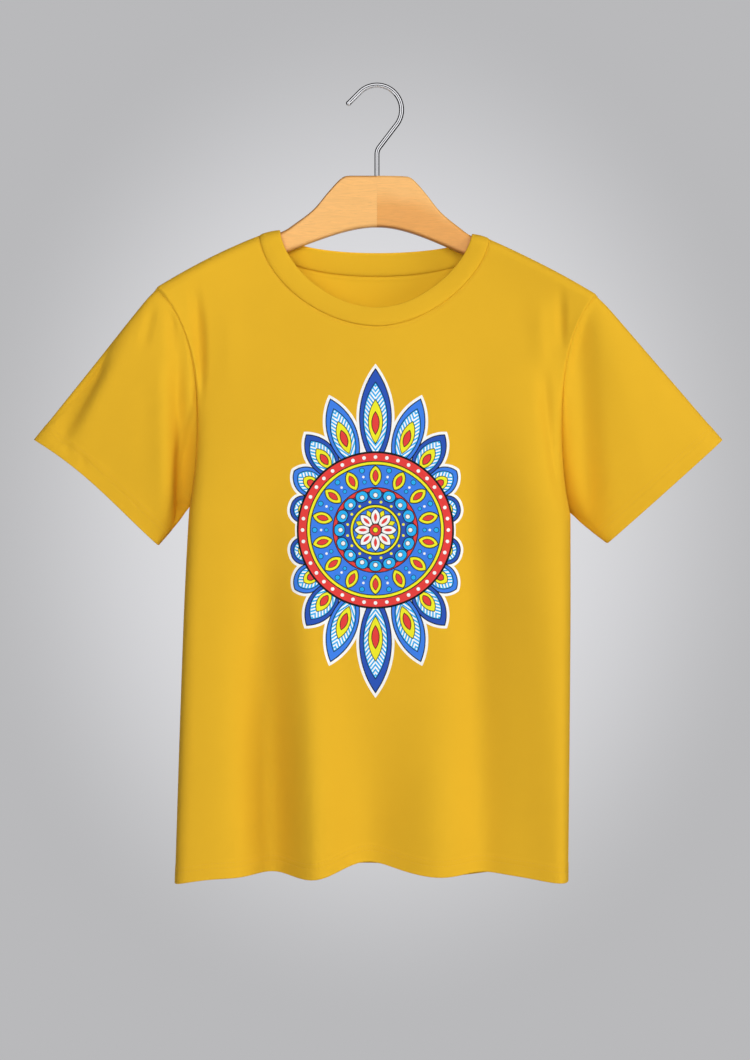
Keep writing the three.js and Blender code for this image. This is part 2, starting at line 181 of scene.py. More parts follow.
@dataclass(frozen=True)
class PanelCut:
    """What makes the front and the back of the shirt differ, in millimetres.

    Args:
        facing: -1 for the front and 1 for the back.
        depth: how far the cloth stands from the shirt's middle plane where it is full.
        side_drop: the share of that which it has lost when it reaches the sides.
        fill_by: how far below the shoulder it is full.
        roundness: the power of the neckline's curve.
        rib_lean: how far the rib's free edge lies back from its seam, in the middle.
        pinched: the share of its neck's pinch that each side has.
        hem_waves: where the hem hangs higher or lower: the middle, half the width and the height of each.
        armhole_share: the share of the rows that run down the armhole.
    """

    facing: int
    depth: float
    side_drop: float
    fill_by: float
    neck_z: float
    rib_z: float
    roundness: float
    rib_lean: float
    pinched: float
    hem_z: float
    hem_waves: tuple[tuple[float, float, float], ...]
    armhole_share: float
    folds: tuple[Fold, ...]
    creases: tuple[Crease, ...]


RIGHT = Side(
    hand=-1,
    neck_x=124.3,
    rib_x=102.3,
    tip_x=232.6,
    armhole=((178.0, -262.0), (184.0, -380.0), (198.0, -448.5)),
    hem_x=212.8,
    flare=0.8,
    sleeve_outer=(360.2, -375.2),
    sleeve_inner=(230.3, -486.0),
    sleeve_bow=0.035,
    sleeve_forward=(22.0, 13.0),
    neck_pinch=3.6,
    hem_z=-841.0,
)
LEFT = Side(
    hand=1,
    neck_x=119.0,
    rib_x=100.2,
    tip_x=231.6,
    armhole=((186.0, -262.0), (188.0, -392.0), (203.8, -454.5)),
    hem_x=200.8,
    flare=1.5,
    sleeve_outer=(364.0, -375.2),
    sleeve_inner=(243.3, -484.0),
    sleeve_bow=0.0,
    sleeve_forward=(12.0, 4.0),
    neck_pinch=6.6,
    hem_z=-837.0,
)

FRONT = PanelCut(
    facing=-1,
    depth=50.0,
    side_drop=0.08,
    fill_by=260.0,
    neck_z=-256.5,
    rib_z=-236.5,
    roundness=1.85,
    rib_lean=4.0,
    pinched=1.0,
    hem_z=-825.0,
    hem_waves=(
        (-109.0, 38.0, -5.2),
        (-100.0, 60.0, -4.5),
        (-9.0, 29.0, 5.6),
        (68.0, 55.0, -3.2),
    ),
    armhole_share=10 / 18,
    folds=(
        Fold(-124, -110, 27, -27, -380, -760),
        Fold(-80, -62, 27, 15, -400, -780),
        Fold(-8, -10, 34, -12, -590, -830),
        Fold(58, 64, 30, 9, -560, -820),
        Fold(98, 110, 22, -8, -250, -520),
        Fold(152, 208, 45, 19, -220, -480),
    ),
    creases=(
        Crease((-194, -200), (-188, -350), -6.0, 5, 7, bow=6, fade=0.4),
        Crease((-160, -215), (-158, -340), 1.4, 12, 9, bow=4, fade=0.5),
        Crease((193, -207), (195, -290), -3.4, 4, 6, fade=0.45),
        Crease((170, -212), (174, -320), 2.6, 9, 12, fade=0.4),
        Crease((173, -285), (196, -462), -5.5, 6, 9, bow=-2, fade=0.35),
    ),
)
BACK = PanelCut(
    facing=1,
    depth=44.0,
    side_drop=0.45,
    fill_by=240.0,
    neck_z=-200.5,
    rib_z=-176.0,
    roundness=2.1,
    rib_lean=-7.0,
    pinched=0.0,
    hem_z=-834.0,
    hem_waves=((-14.0, 50.0, 7.5), (66.0, 42.0, -8.0)),
    armhole_share=10 / 15,
    folds=(
        Fold(-70, -88, 30, -14, -330, -720),
        Fold(-20, -26, 28, 8, -420, -780),
        Fold(36, 38, 26, -11, -480, -800),
        Fold(96, 104, 30, 9, -420, -760),
    ),
    creases=(),
)


RIGHT_SLEEVE = (
    Crease((-262, -240), (-338, -388), -4.5, 13, 34, bow=-3, fade=0.45),
    Crease((-280, -280), (-338, -388), -5.0, 8, 14, fade=0.3),
    Crease((-243, -232), (-318, -400), 2.2, 14, 14, bow=-6, fade=0.35),
    Crease((-232, -225), (-247, -290), -2.4, 5, 5, fade=0.4),
    Crease((-214, -228), (-214, -292), -3.0, 4, 5, fade=0.4),
    Crease((-208, -235), (-200, -505), -9.0, 7, 9, bow=-2, fade=0.4),
    Crease((-190, -330), (-189, -530), -17.0, 12, 16, fade=0.35),
    Crease((-226, -255), (-222, -500), 3.4, 12, 12, fade=0.4),
    Crease((-330, -392), (-318, -378), -1.4, 4, 4, fade=0.5),
    Crease((-312, -408), (-303, -392), -1.4, 3, 4, fade=0.5),
)
LEFT_SLEEVE = (
    Crease((207, -205), (226, -495), -8.5, 17, 14, fade=0.25),
    Crease((246, -250), (290, -460), 2.0, 18, 16, fade=0.4),
)


@dataclass(frozen=True)
class ShirtForm:
    """The shirt as it hangs: its outline in the front view, and how far each face stands from its middle.

    All sizes are in millimetres, and the names follow the parts of the shirt and the wood in it.

    Args:
        droop: how much the shoulder line bends.
        lean_drop: how much lower the wearer's left shoulder hangs, from lean_by out.
        neck_share: the share of the columns that the neckline takes.
        flatness: how flat the cloth is across, above and below crisp_z, and corner_root at the sides.
        sleeve_root: how blunt a sleeve's hem is, at its top and under the arm.
        armhole_blunt: how bluntly the armhole leaves the middle plane, at the tip and at the armpit.
        blend_samples: the samples along an edge, and those it is evened out over.
        edge_power: how narrow the strip is in which a panel turns to its side edge.
        pull_centre: x and z of the place that the armhole seams are drawn towards.
    """

    shoulder_x: float = 124.5
    shoulder_z: float = -159.2
    slope: float = 0.4
    droop: float = 0.00118
    lean_drop: float = 8.2
    lean_by: float = 180.0
    sweep: float = 24.0
    sweep_fade: float = 160.0
    over_wood: float = 3.4
    half_width: float = 233.0
    wood_half: float = 7.0
    wood_end_half: float = 10.5
    wood_grown: tuple[float, float] = (60.0, 215.0)
    armhole_depth: float = 26.0
    hem_corner_z: float = -840.0
    hem_dip: float = 0.3
    neck_share: float = 12 / 19
    widening: float = 8.0
    flatness: tuple[float, float] = (11.0, 44.0)
    corner_root: tuple[float, float] = (2.0, 2.5)
    crisp_z: tuple[float, float] = (-300.0, -420.0)
    seam_forward: float = 12.0
    armpit_blend: float = 0.07
    rib_under_line: float = 4.0
    sleeve_hem_depth: float = 17.0
    sleeve_belly: float = 7.0
    sleeve_root: tuple[float, float] = (0.75, 0.4)
    armhole_bias: float = 1.25
    armhole_blunt: tuple[float, float] = (0.7, 1.4)
    neck_square: float = 0.32
    pinch_high: float = 0.6
    blend_samples: tuple[int, int] = (201, 13)
    side_crowd: float = 0.7
    edge_power: int = 8
    forward_by: float = 0.3
    pull_centre: tuple[float, float] = (205.0, -340.0)
    pull_flat: float = 0.12
    pull_down: float = -6.0

    def lean(self, x: Values) -> Values:
        """Returns how much lower the wearer's left shoulder hangs at x."""
        return self.lean_drop * smoothstep(x, 0.0, self.lean_by)

    def shoulder_line(self, x: Values) -> Values:
        """Returns the height of the shoulder line at x."""
        out = np.abs(x) - self.shoulder_x
        return self.shoulder_z - self.slope * out - self.droop * np.maximum(out, 0.0) ** 2 - self.lean(x)

    def chest_round(self, x: Array) -> Array:
        """Returns how much lower the cloth begins to fill at x between the shoulders, so it has no ridge."""
        inside = np.maximum(self.shoulder_x - np.abs(x), 0.0)
        return self.slope * inside**2 / (2.0 * self.shoulder_x)

    def wood_half_thickness(self, x: Values) -> Values:
        """Returns half the thickness of the hanger's arm at x."""
        grown = smoothstep(np.abs(x), *self.wood_grown)
        return lerp(self.wood_half, self.wood_end_half, grown)

    def middle_y(self, x: Array, z: Array) -> Array:
        """Returns the depth of the shirt's middle plane, from which front and back are measured."""
        fade = np.exp(-np.maximum(self.shoulder_line(x) - z, 0.0) / self.sweep_fade)
        return -self.sweep * np.minimum(np.abs(x) / self.half_width, 1.0) ** 2 * fade

    def fold_height(self, folds: Iterable[Fold], x: Array, z: Values) -> Array:
        """Returns how far the folds lift the cloth at each (x, z).

        Args:
            folds: those of the panel.
            x: places across.
            z: their heights.

        Returns:
            The lift at each place.
        """
        height = np.zeros(np.broadcast(x, z).shape)
        for fold in folds:
            grown = smoothstep(-z, -fold.start_z, -fold.full_z)
            down = np.clip((fold.start_z - z) / (fold.start_z - self.hem_corner_z), 0.0, 1.0)
            away = x - lerp(fold.top_x, fold.hem_x, down)
            height = height + fold.height * grown * bump(away, fold.width)
        return height

    def fullness(self, cut: PanelCut, x: Array, z: Array, out: Array) -> Array:
        """Works out how full a panel is.

        Args:
            cut: the front or the back.
            x: places across.
            z: their heights.
            out: the share of the way to its side edge.

        Returns:
            How far it stands from the middle plane.
        """
        below = np.maximum(self.shoulder_line(x) - self.chest_round(x) - z, 0.0)
        edge = self.wood_half_thickness(x) + self.over_wood
        rounded = np.sqrt(1.0 - (1.0 - np.minimum(below / edge, 1.0)) ** 2)
        filled = smoothstep(below, 0.0, cut.fill_by)
        depth = cut.depth * (1.0 - cut.side_drop * np.abs(out) ** 4)
        return edge * rounded + (depth - edge) * filled + self.fold_height(cut.folds, x, z)

    def swell(self, out: Array, z: Array) -> Array:
        """Returns how much of its fullness a panel keeps, a share `out` of the way to its side edge.

        Args:
            out: the share of the way to its side edge.
            z: the heights.

        Returns:
            The share that it keeps.
        """
        crisp = smoothstep(-z, -self.crisp_z[0], -self.crisp_z[1])
        flat = np.maximum(1.0 - np.abs(out) ** lerp(*self.flatness, crisp), 0.0)
        return flat ** (1.0 / lerp(*self.corner_root, crisp))

    def armhole(self, side: Side, turn: Array) -> tuple[Array, Array, Array]:
        """Draws an armhole seam.

        Args:
            side: the side of the shirt.
            turn: from 0 at the shoulder's tip to pi at the armpit.

        Returns:
            Its x, z and depth.
        """
        t = (1.0 - np.cos(turn)) / 2.0
        tip = (side.tip_x, float(self.shoulder_line(side.hand * side.tip_x)))
        weights = ((1 - t) ** 3, 3 * t * (1 - t) ** 2, 3 * t**2 * (1 - t), t**3)
        points = (tip, *side.armhole)
        x = sum(w * p[0] for w, p in zip(weights, points))
        z = sum(w * p[1] for w, p in zip(weights, points))
        bluntness = lerp(*self.armhole_blunt, turn / np.pi)
        depth = self.armhole_depth * np.maximum(np.sin(turn), 1e-9) ** bluntness
        return side.hand * x, z, np.where(turn * (np.pi - turn) < 1e-6, 0.0, depth)

    def neckline(self, cut: PanelCut, side: Side, off: Array) -> tuple[Array, Array, Array, Array]:
        """Draws half a neckline.

        Args:
            cut: the front or the back.
            side: the side of the shirt.
            off: the turn away from the middle of the neck, from 0 to half pi at the shoulder.

        Returns:
            Its x and z, and those of the rib's free edge over it.
        """
        turn = off + self.neck_square * np.sin(2.0 * off)
        across = np.abs(np.sin(turn)) ** (2.0 / cut.roundness)
        down = np.abs(np.cos(turn)) ** (2.0 / cut.roundness)
        seam_z = float(self.shoulder_line(side.hand * side.neck_x))
        free_z = float(self.shoulder_line(side.hand * side.rib_x)) - self.rib_under_line
        upper = np.sin(np.pi * np.maximum(1.0 - down, 0.0) ** self.pinch_high)
        inward = cut.pinched * side.neck_pinch * upper
        return (
            side.hand * (side.neck_x * across - inward),
            lerp(seam_z, cut.neck_z, down),
            side.hand * (side.rib_x * across - inward),
            lerp(free_z, cut.rib_z, down),
        )

    def hole_turn(self, cut: PanelCut, w: Array) -> Array:
        """Returns the armhole's turn at each row of a panel, which stays at pi below it."""
        return np.pi * np.clip(w / cut.armhole_share, 0.0, 1.0) ** self.armhole_bias

    def _fallen(self, cut: PanelCut, w: Array) -> Array:
        """Returns the share of a panel's height that each row has fallen by."""
        share = cut.armhole_share
        return np.where(w <= share, share * (1.0 - np.cos(self.hole_turn(cut, w))) / 2.0, w)

    def _side_edge(self, cut: PanelCut, side: Side, w: Array) -> tuple[Array, Array, Array]:
        """Draws a panel's edge, down the armhole and then down the side seam.

        Args:
            cut: the front or the back.
            side: the side of the shirt.
            w: the rows, from 0 at the top to 1 at the hem.

        Returns:
            Its x, z and depth.
        """
        hole_x, hole_z, hole_depth = self.armhole(side, self.hole_turn(cut, w))
        s = np.clip((w - cut.armhole_share) / (1.0 - cut.armhole_share), 0.0, 1.0)
        armpit_x, armpit_z = side.armhole[2]
        seam_x = side.hand * lerp(armpit_x, side.hem_x, s**side.flare)
        seam_z = lerp(armpit_z, side.hem_z, s)
        on_hole = w <= cut.armhole_share
        return (
            np.where(on_hole, hole_x, seam_x),
            np.where(on_hole, hole_z, seam_z),
            np.where(on_hole, hole_depth, 0.0),
        )

    def _mean_edge(self, cut: PanelCut, side: Side, down: Array) -> tuple[Array, Array]:
        """Evens out a panel's edge round about a height, so that the armpit leaves no ridge.

        Args:
            cut: the front or the back.
            side: the side of the shirt.
            down: the share of the height fallen by.

        Returns:
            Its x and depth.
        """
        samples, shifts = self.blend_samples
        w = np.linspace(0.0, 1.0, samples)
        at = self._fallen(cut, w)
        edge_x, _, edge_depth = self._side_edge(cut, side, w)
        near = np.linspace(-self.armpit_blend, self.armpit_blend, shifts)
        return tuple(
            np.mean([np.interp(down + shift, at, edge) for shift in near], axis=0)
            for edge in (edge_x, edge_depth)
        )

    def _top_edge(self, cut: PanelCut, side: Side, u: Array) -> tuple[Array, Array]:
        """Draws a panel's top edge: half the neckline, then the shoulder.

        Args:
            cut: the front or the back.
            side: the side of the shirt.
            u: the columns, from 0 in the middle to 1.

        Returns:
            Its x and z.
        """
        a = np.abs(u)
        off = np.pi / 2 * np.minimum(a / self.neck_share, 1.0)
        neck_x, neck_z, _, _ = self.neckline(cut, side, off)
        b = np.sin(np.pi / 2 * np.clip((a - self.neck_share) / (1.0 - self.neck_share), 0.0, 1.0))
        x = side.hand * lerp(side.neck_x, side.tip_x, b)
        on_neck = a <= self.neck_share
        return np.where(on_neck, neck_x, x), np.where(on_neck, neck_z, self.shoulder_line(x))

    def _hem_edge(self, cut: PanelCut, across: Array) -> tuple[Array, Array]:
        """Draws a panel's hem.

        Args:
            cut: the front or the back.
            across: the columns, from -1 to 1.

        Returns:
            Its x and z.
        """
        x = lerp(-RIGHT.hem_x, LEFT.hem_x, (1.0 + across) / 2.0)
        corner_z = np.where(across > 0.0, LEFT.hem_z, RIGHT.hem_z)
        z = lerp(cut.hem_z, corner_z, np.abs(across) ** 3)
        inside = 1.0 - across**self.edge_power
        for middle, width, height in cut.hem_waves:
            z = z + height * bump(x - middle, width)
        return x, z - self.hem_dip * inside * self.fold_height(cut.folds, x, self.hem_corner_z)

    def _half_panel(self, cut: PanelCut, side: Side, u: Array, w: Array) -> Array:
        """Shapes a panel by the outline of one side of the shirt.

        Args:
            cut: the front or the back.
            side: the side of the shirt.
            u: the columns, from 0 in the middle to 1.
            w: the rows, from 0 at the top to 1 at the hem.

        Returns:
            Points of its outer face.
        """
        down = self._fallen(cut, w)
        ways = (1.0 - (1.0 - down) ** self.widening, down)
        across = lerp(u, np.sin(u * np.pi / 2), self.side_crowd)
        end = np.full_like(u, side.hand)
        edge_x, edge_z, edge_depth = self._side_edge(cut, side, w)
        tops, hems = self._top_edge(cut, side, u), self._hem_edge(cut, across)
        end_tops, end_hems = self._top_edge(cut, side, end), self._hem_edge(cut, end)
        x, z = (
            lerp(top, hem, way) + (edge - lerp(end_top, end_hem, way)) * across**2
            for top, hem, end_top, end_hem, edge, way in zip(
                tops, hems, end_tops, end_hems, (edge_x, edge_z), ways
            )
        )
        mean_x, mean_depth = self._mean_edge(cut, side, down)
        soft = np.abs(across) ** self.edge_power
        reach = np.clip(x / lerp(mean_x, edge_x, soft), -1.0, 1.0)
        edge_depth = lerp(mean_depth, edge_depth, soft)
        swell = self.swell(reach, z)
        depth = np.maximum(lerp(edge_depth, self.fullness(cut, x, z, reach), swell), 0.0)
        below_hole = (w - cut.armhole_share) / (1.0 - cut.armhole_share)
        forward = self.seam_forward * smoothstep(below_hole, 0.0, self.forward_by) * (1.0 - swell)
        return spatial(x, self.middle_y(x, z) + cut.facing * depth - forward, z)

    def panel(self, cut: PanelCut, u: Array, w: Array) -> Array:
        """Returns points of a panel's outer face.

        Args:
            cut: the front or the back.
            u: from -1 at the wearer's right to 1 at the left.
            w: from 0 at the top edge to 1 at the hem.
        """
        right, left = (self._half_panel(cut, side, u, w) for side in (RIGHT, LEFT))
        return np.where((u > 0.0)[..., None], left, right)

    def sleeve(self, side: Side, turn: Array, s: Array) -> Array:
        """Shapes a sleeve.

        Args:
            side: the side of the shirt.
            turn: round the sleeve, from 0 at its top by the front to pi under the arm and on by the back.
            s: from 0 at the armhole to 1 at the hem.

        Returns:
            Points of its outer face.
        """
        half = np.where(turn <= np.pi, turn, 2 * np.pi - turn)
        t = (1.0 - np.cos(half)) / 2.0
        full = np.maximum(np.sin(half), 0.0)
        seam_x, seam_z, seam_depth = self.armhole(side, half)
        (outer_x, outer_z), (inner_x, inner_z) = side.sleeve_outer, side.sleeve_inner
        reach = s * (1.0 - side.sleeve_bow * full**2)
        x = lerp(seam_x, side.hand * lerp(outer_x, inner_x, t), reach)
        z = lerp(seam_z, lerp(outer_z, inner_z, t), reach)
        hem_depth = self.sleeve_hem_depth * full ** lerp(*self.sleeve_root, t)
        belly = self.sleeve_belly * np.sin(np.pi * s) * full
        depth = lerp(seam_depth, hem_depth, smoothstep(s, 0.0, 1.0)) + belly
        hem_y = -lerp(*side.sleeve_forward, t)
        middle = lerp(self.middle_y(seam_x, seam_z), hem_y, s)
        return spatial(x, middle + np.where(turn <= np.pi, -depth, depth), z)

    def armhole_pull(self, side: Side, turn: Array, facing: Array) -> Array:
        """Draws an armhole seam in, the same way for both of its pieces.

        Args:
            side: the side of the shirt.
            turn: from 0 at the shoulder's tip to pi at the armpit.
            facing: -1 on the front and 1 on the back.

        Returns:
            The direction at each turn.
        """
        x, z, depth = self.armhole(side, turn)
        seam = spatial(x, self.middle_y(x, z) + facing * depth, z)
        centre = np.array([side.hand * self.pull_centre[0], 0.0, self.pull_centre[1]])
        return unit((centre - seam) * np.array([self.pull_flat, 1.0, self.pull_flat]))

    def neck_pull(self, points: Array) -> Array:
        """Returns which way the neck and shoulder seams are drawn in, which all their pieces follow."""
        x, y, z = points[..., 0], points[..., 1], points[..., 2]
        return unit(spatial(0.0, self.middle_y(x, z) - y, self.pull_down))

    def neck_seam(self, cut: PanelCut, side: Side, off: Array) -> tuple[Array, Array]:
        """Draws half a neck seam.

        Args:
            cut: the front or the back.
            side: the side of the shirt.
            off: the turn away from the middle of the neck, from 0 to half pi at the shoulder.

        Returns:
            Its points, and those of the rib's free edge over it.
        """
        x, z, free_x, free_z = self.neckline(cut, side, off)
        edge_x = side.hand * side.tip_x
        depth = self.fullness(cut, x, z, x / edge_x) * self.swell(x / edge_x, z)
        y = self.middle_y(x, z) + cut.facing * depth
        return spatial(x, y, z), spatial(free_x, y + cut.rib_lean * np.cos(off) ** 2, free_z)


# Sheets of cloth.


@dataclass
class ClothGrid:
    """A sheet's outer face as a grid of points, rows by columns, in millimetres.

    Args:
        points: rows run down the sheet and columns across it.
        outward: 1 if across times down points out of the cloth, or else -1.
        ring: the last column meets the first.
    """

    points: Array
    outward: int
    ring: bool = False

    def normals(self) -> Array:
        """Works out which way the cloth faces.

        Returns:
            The direction out of it at each point.
        """
        p = self.points
        if self.ring:
            wide = np.concatenate([p[:, -2:-1], p, p[:, 1:2]], axis=1)
            across = (wide[:, 2:] - wide[:, :-2]) / 2.0
        else:
            across = np.gradient(p, axis=1)
        return self.outward * unit(np.cross(across, np.gradient(p, axis=0)))

    def steps_across(self) -> Array:
        """Returns the distance along each row from its first column."""
        step = np.linalg.norm(np.diff(self.points, axis=1), axis=-1)
        return np.pad(np.cumsum(step, axis=1), ((0, 0), (1, 0)))

    def steps_down(self) -> Array:
        """Returns the distance down each column from its first row."""
        step = np.linalg.norm(np.diff(self.points, axis=0), axis=-1)
        return np.pad(np.cumsum(step, axis=0), ((1, 0), (0, 0)))

    def lifted(self, height: Array) -> "ClothGrid":
        """Returns the sheet with each point moved out by its height."""
        moved = self.points + self.normals() * height[..., None]
        return ClothGrid(moved, self.outward, self.ring)

    def turned_up(self, width: float, roll: float, rows: int = 7, roll_rows: int = 5) -> "ClothGrid":
        """Rolls the last row under and carries it back up inside as a hem.

        Args:
            width: how far up inside the hem reaches.
            roll: the radius of the roll at the hem's edge.
            rows: the rows that the inside of the hem gets.
            roll_rows: those that its rolled edge gets.

        Returns:
            The longer sheet.
        """
        out = self.normals()[-1]
        down = unit(self.points[-1] - self.points[-3])
        centre = self.points[-1] - roll * out
        angles = np.linspace(0.0, np.pi, roll_rows + 1)[1:]
        rolled = [centre + roll * (math.cos(a) * out + math.sin(a) * down) for a in angles]
        inside = []
        for reach in np.linspace(0.0, width, rows + 1)[1:]:
            face, way = strip_above(self, float(reach))
            inside.append(face - 2.0 * roll * way)
        points = np.concatenate([self.points, np.stack(rolled), np.stack(inside)])
        return ClothGrid(points, self.outward, self.ring)

    def flat_on(self, flat: Array) -> Array:
        """Lays the hem straight down the flat cut.

        Args:
            flat: where the first rows lie.

        Returns:
            Where all rows lie.
        """
        rows = flat.shape[0]
        down = self.steps_down()
        below = down[rows:] - down[rows - 1]
        added = np.stack([np.broadcast_to(flat[-1, :, 0], below.shape), flat[-1, :, 1] - below], axis=-1)
        return np.concatenate([flat, added])


def make_piece(name: str, bm: Mesh, smooth: bool = True) -> Piece:
    """Makes an object at the origin from a bmesh in metres, and frees the bmesh.

    Args:
        name: the piece's name.
        bm: its mesh, which is used up.
        smooth: shade its faces smooth.

    Returns:
        The object.
    """
    mesh = bpy.data.meshes.new(name)
    bm.to_mesh(mesh)
    bm.free()
    if smooth:
        mesh.shade_smooth()
    piece = bpy.data.objects.new(name, mesh)
    bpy.context.scene.collection.objects.link(piece)
    return piece


def sheet_piece(name: str, grid: ClothGrid, flat: Array, thickness: float) -> Piece:
    """Makes a sheet of cloth from its outer face.

    Args:
        name: the piece's name.
        grid: the outer face.
        flat: where each point lies on the flat cut, in millimetres.
        thickness: of the cloth, in millimetres, which goes inwards.

    Returns:
        The piece, with its Solidify.
    """
    rows, cols = grid.points.shape[:2]
    bm = bmesh.new()
    bmesh.ops.create_grid(bm, x_segments=cols - 1, y_segments=rows - 1, size=0.5)
    places = {}
    for vert in bm.verts:
        place = (round((0.5 - vert.co.y) * (rows - 1)), round((vert.co.x + 0.5) * (cols - 1)))
        places[vert] = place
        vert.co = grid.points[place] * MM
    layer = bm.loops.layers.uv.new("flat")
    for face in bm.faces:
        for loop in face.loops:
            loop[layer].uv = flat[places[loop.vert]] * MM
    if grid.outward > 0:
        bmesh.ops.reverse_faces(bm, faces=bm.faces)
    if grid.ring:
        bmesh.ops.remove_doubles(bm, verts=bm.verts, dist=1e-6)
    piece = make_piece(name, bm)
    solidify = piece.modifiers.new("cloth", "SOLIDIFY")
    solidify.thickness = thickness * MM
    solidify.offset = -1.0
    solidify.material_offset = 1
    return piece


# The seams, hems and stitches.


@dataclass(frozen=True)
class Sewing:
    """How the shirt is sewn, in millimetres.

    Args:
        draw: how far a seam draws the cloth in.
        neck_draw: how far the neck seam, which is stitched flat, draws the cloth in.
        reach: half the width of what it draws in.
        sleeve_draw: how far the armhole seam draws the cloth in.
        sleeve_reach: how far into the sleeve it draws the cloth in.
        hem_swell: how far the doubled hem stands proud.
        dent: the share of that by which a row of stitches draws it in.
        dent_width: half the width of what it draws in.
        calm: how far from a seam the creases die out.
        from_fold: from a hem's upper edge to its first row of stitches.
        needles: from the first row of stitches to the second.
        topstitch: from the neck seam to the row of stitches that holds it flat.
        pitch: from one stitch to the next.
    """

    cloth: float = 0.65
    draw: float = 0.85
    neck_draw: float = 0.5
    reach: float = 1.5
    sleeve_draw: float = 2.6
    sleeve_reach: float = 11.0
    hem: float = 18.0
    sleeve_hem: float = 21.0
    hem_swell: float = 0.35
    dent: float = 0.5
    dent_width: float = 0.9
    calm: float = 6.0
    roll: float = 0.75
    from_fold: float = 2.0
    needles: float = 5.0
    topstitch: float = 3.2
    thread: float = 0.45
    stitch: float = 2.7
    pitch: float = 3.3

    def hem_relief(self, above: Array, width: float) -> Array:
        """Returns how a hem lifts the cloth, from the distance above its edge.

        Args:
            above: the distance above its edge.
            width: the hem's.

        Returns:
            The lift at each distance.
        """
        swell = self.hem_swell * smoothstep(-above, -width - self.dent_width, -width + self.dent_width)
        for row in self.stitch_rows(width):
            swell = swell - self.dent * self.hem_swell * bump(above - row, self.dent_width)
        return swell

    def stitch_rows(self, width: float) -> tuple[float, float]:
        """Returns how far above a hem's edge its two rows of stitches run."""
        return width - self.from_fold, width - self.from_fold - self.needles

    def stitches(self, name: str, paths: Iterable[tuple[Array, Array]]) -> Piece:
        """Sews rows of stitches as one piece, each a short rounded length of thread.

        Args:
            name: the piece's name.
            paths: for each row its points and the directions out of the cloth there, in millimetres.

        Returns:
            The piece.
        """
        bm = bmesh.new()
        half_length, half_thick = self.stitch / 2 * MM, self.thread / 2 * MM
        size = Matrix.Diagonal((half_length, half_thick, half_thick, 1.0))
        for points, outs in paths:
            steps = np.linalg.norm(np.diff(points, axis=0), axis=1)
            along = np.concatenate([[0.0], np.cumsum(steps)])
            for at in np.arange(self.pitch / 2, along[-1], self.pitch):
                place, ahead, out = (
                    Vector([np.interp(where, along, values[:, axis]) for axis in range(3)])
                    for where, values in ((at, points), (at + 0.5, points), (at, outs))
                )
                way = (ahead - place).normalized()
                side = out.cross(way).normalized()
                turn = Matrix((way, side, way.cross(side))).transposed().to_4x4()
                matrix = Matrix.Translation(place * MM) @ turn @ size
                bmesh.ops.create_icosphere(bm, subdivisions=1, radius=1.0, matrix=matrix)
        return make_piece(name, bm)


def strip_at(grid: ClothGrid, down: Array) -> tuple[Array, Array]:
    """Finds the places a distance down each column of a sheet.

    Args:
        grid: the sheet.
        down: the distance at each column.

    Returns:
        Their points and outward directions.
    """
    steps = grid.steps_down()
    points, outs = (
        np.array(
            [
                [np.interp(reach, steps[:, col], values[:, col, axis]) for axis in range(3)]
                for col, reach in enumerate(down)
            ]
        )
        for values in (grid.points, grid.normals())
    )
    return points, unit(outs)


def strip_above(grid: ClothGrid, reach: float) -> tuple[Array, Array]:
    """Returns the points and outward directions that run a distance above a sheet's last row."""
    return strip_at(grid, grid.steps_down()[-1] - reach)


def pulled(points: Array, depth: Array, way: Array) -> Array:
    """Returns points moved along `way` by their depth."""
    return points + depth[..., None] * way


# The pieces of the shirt.


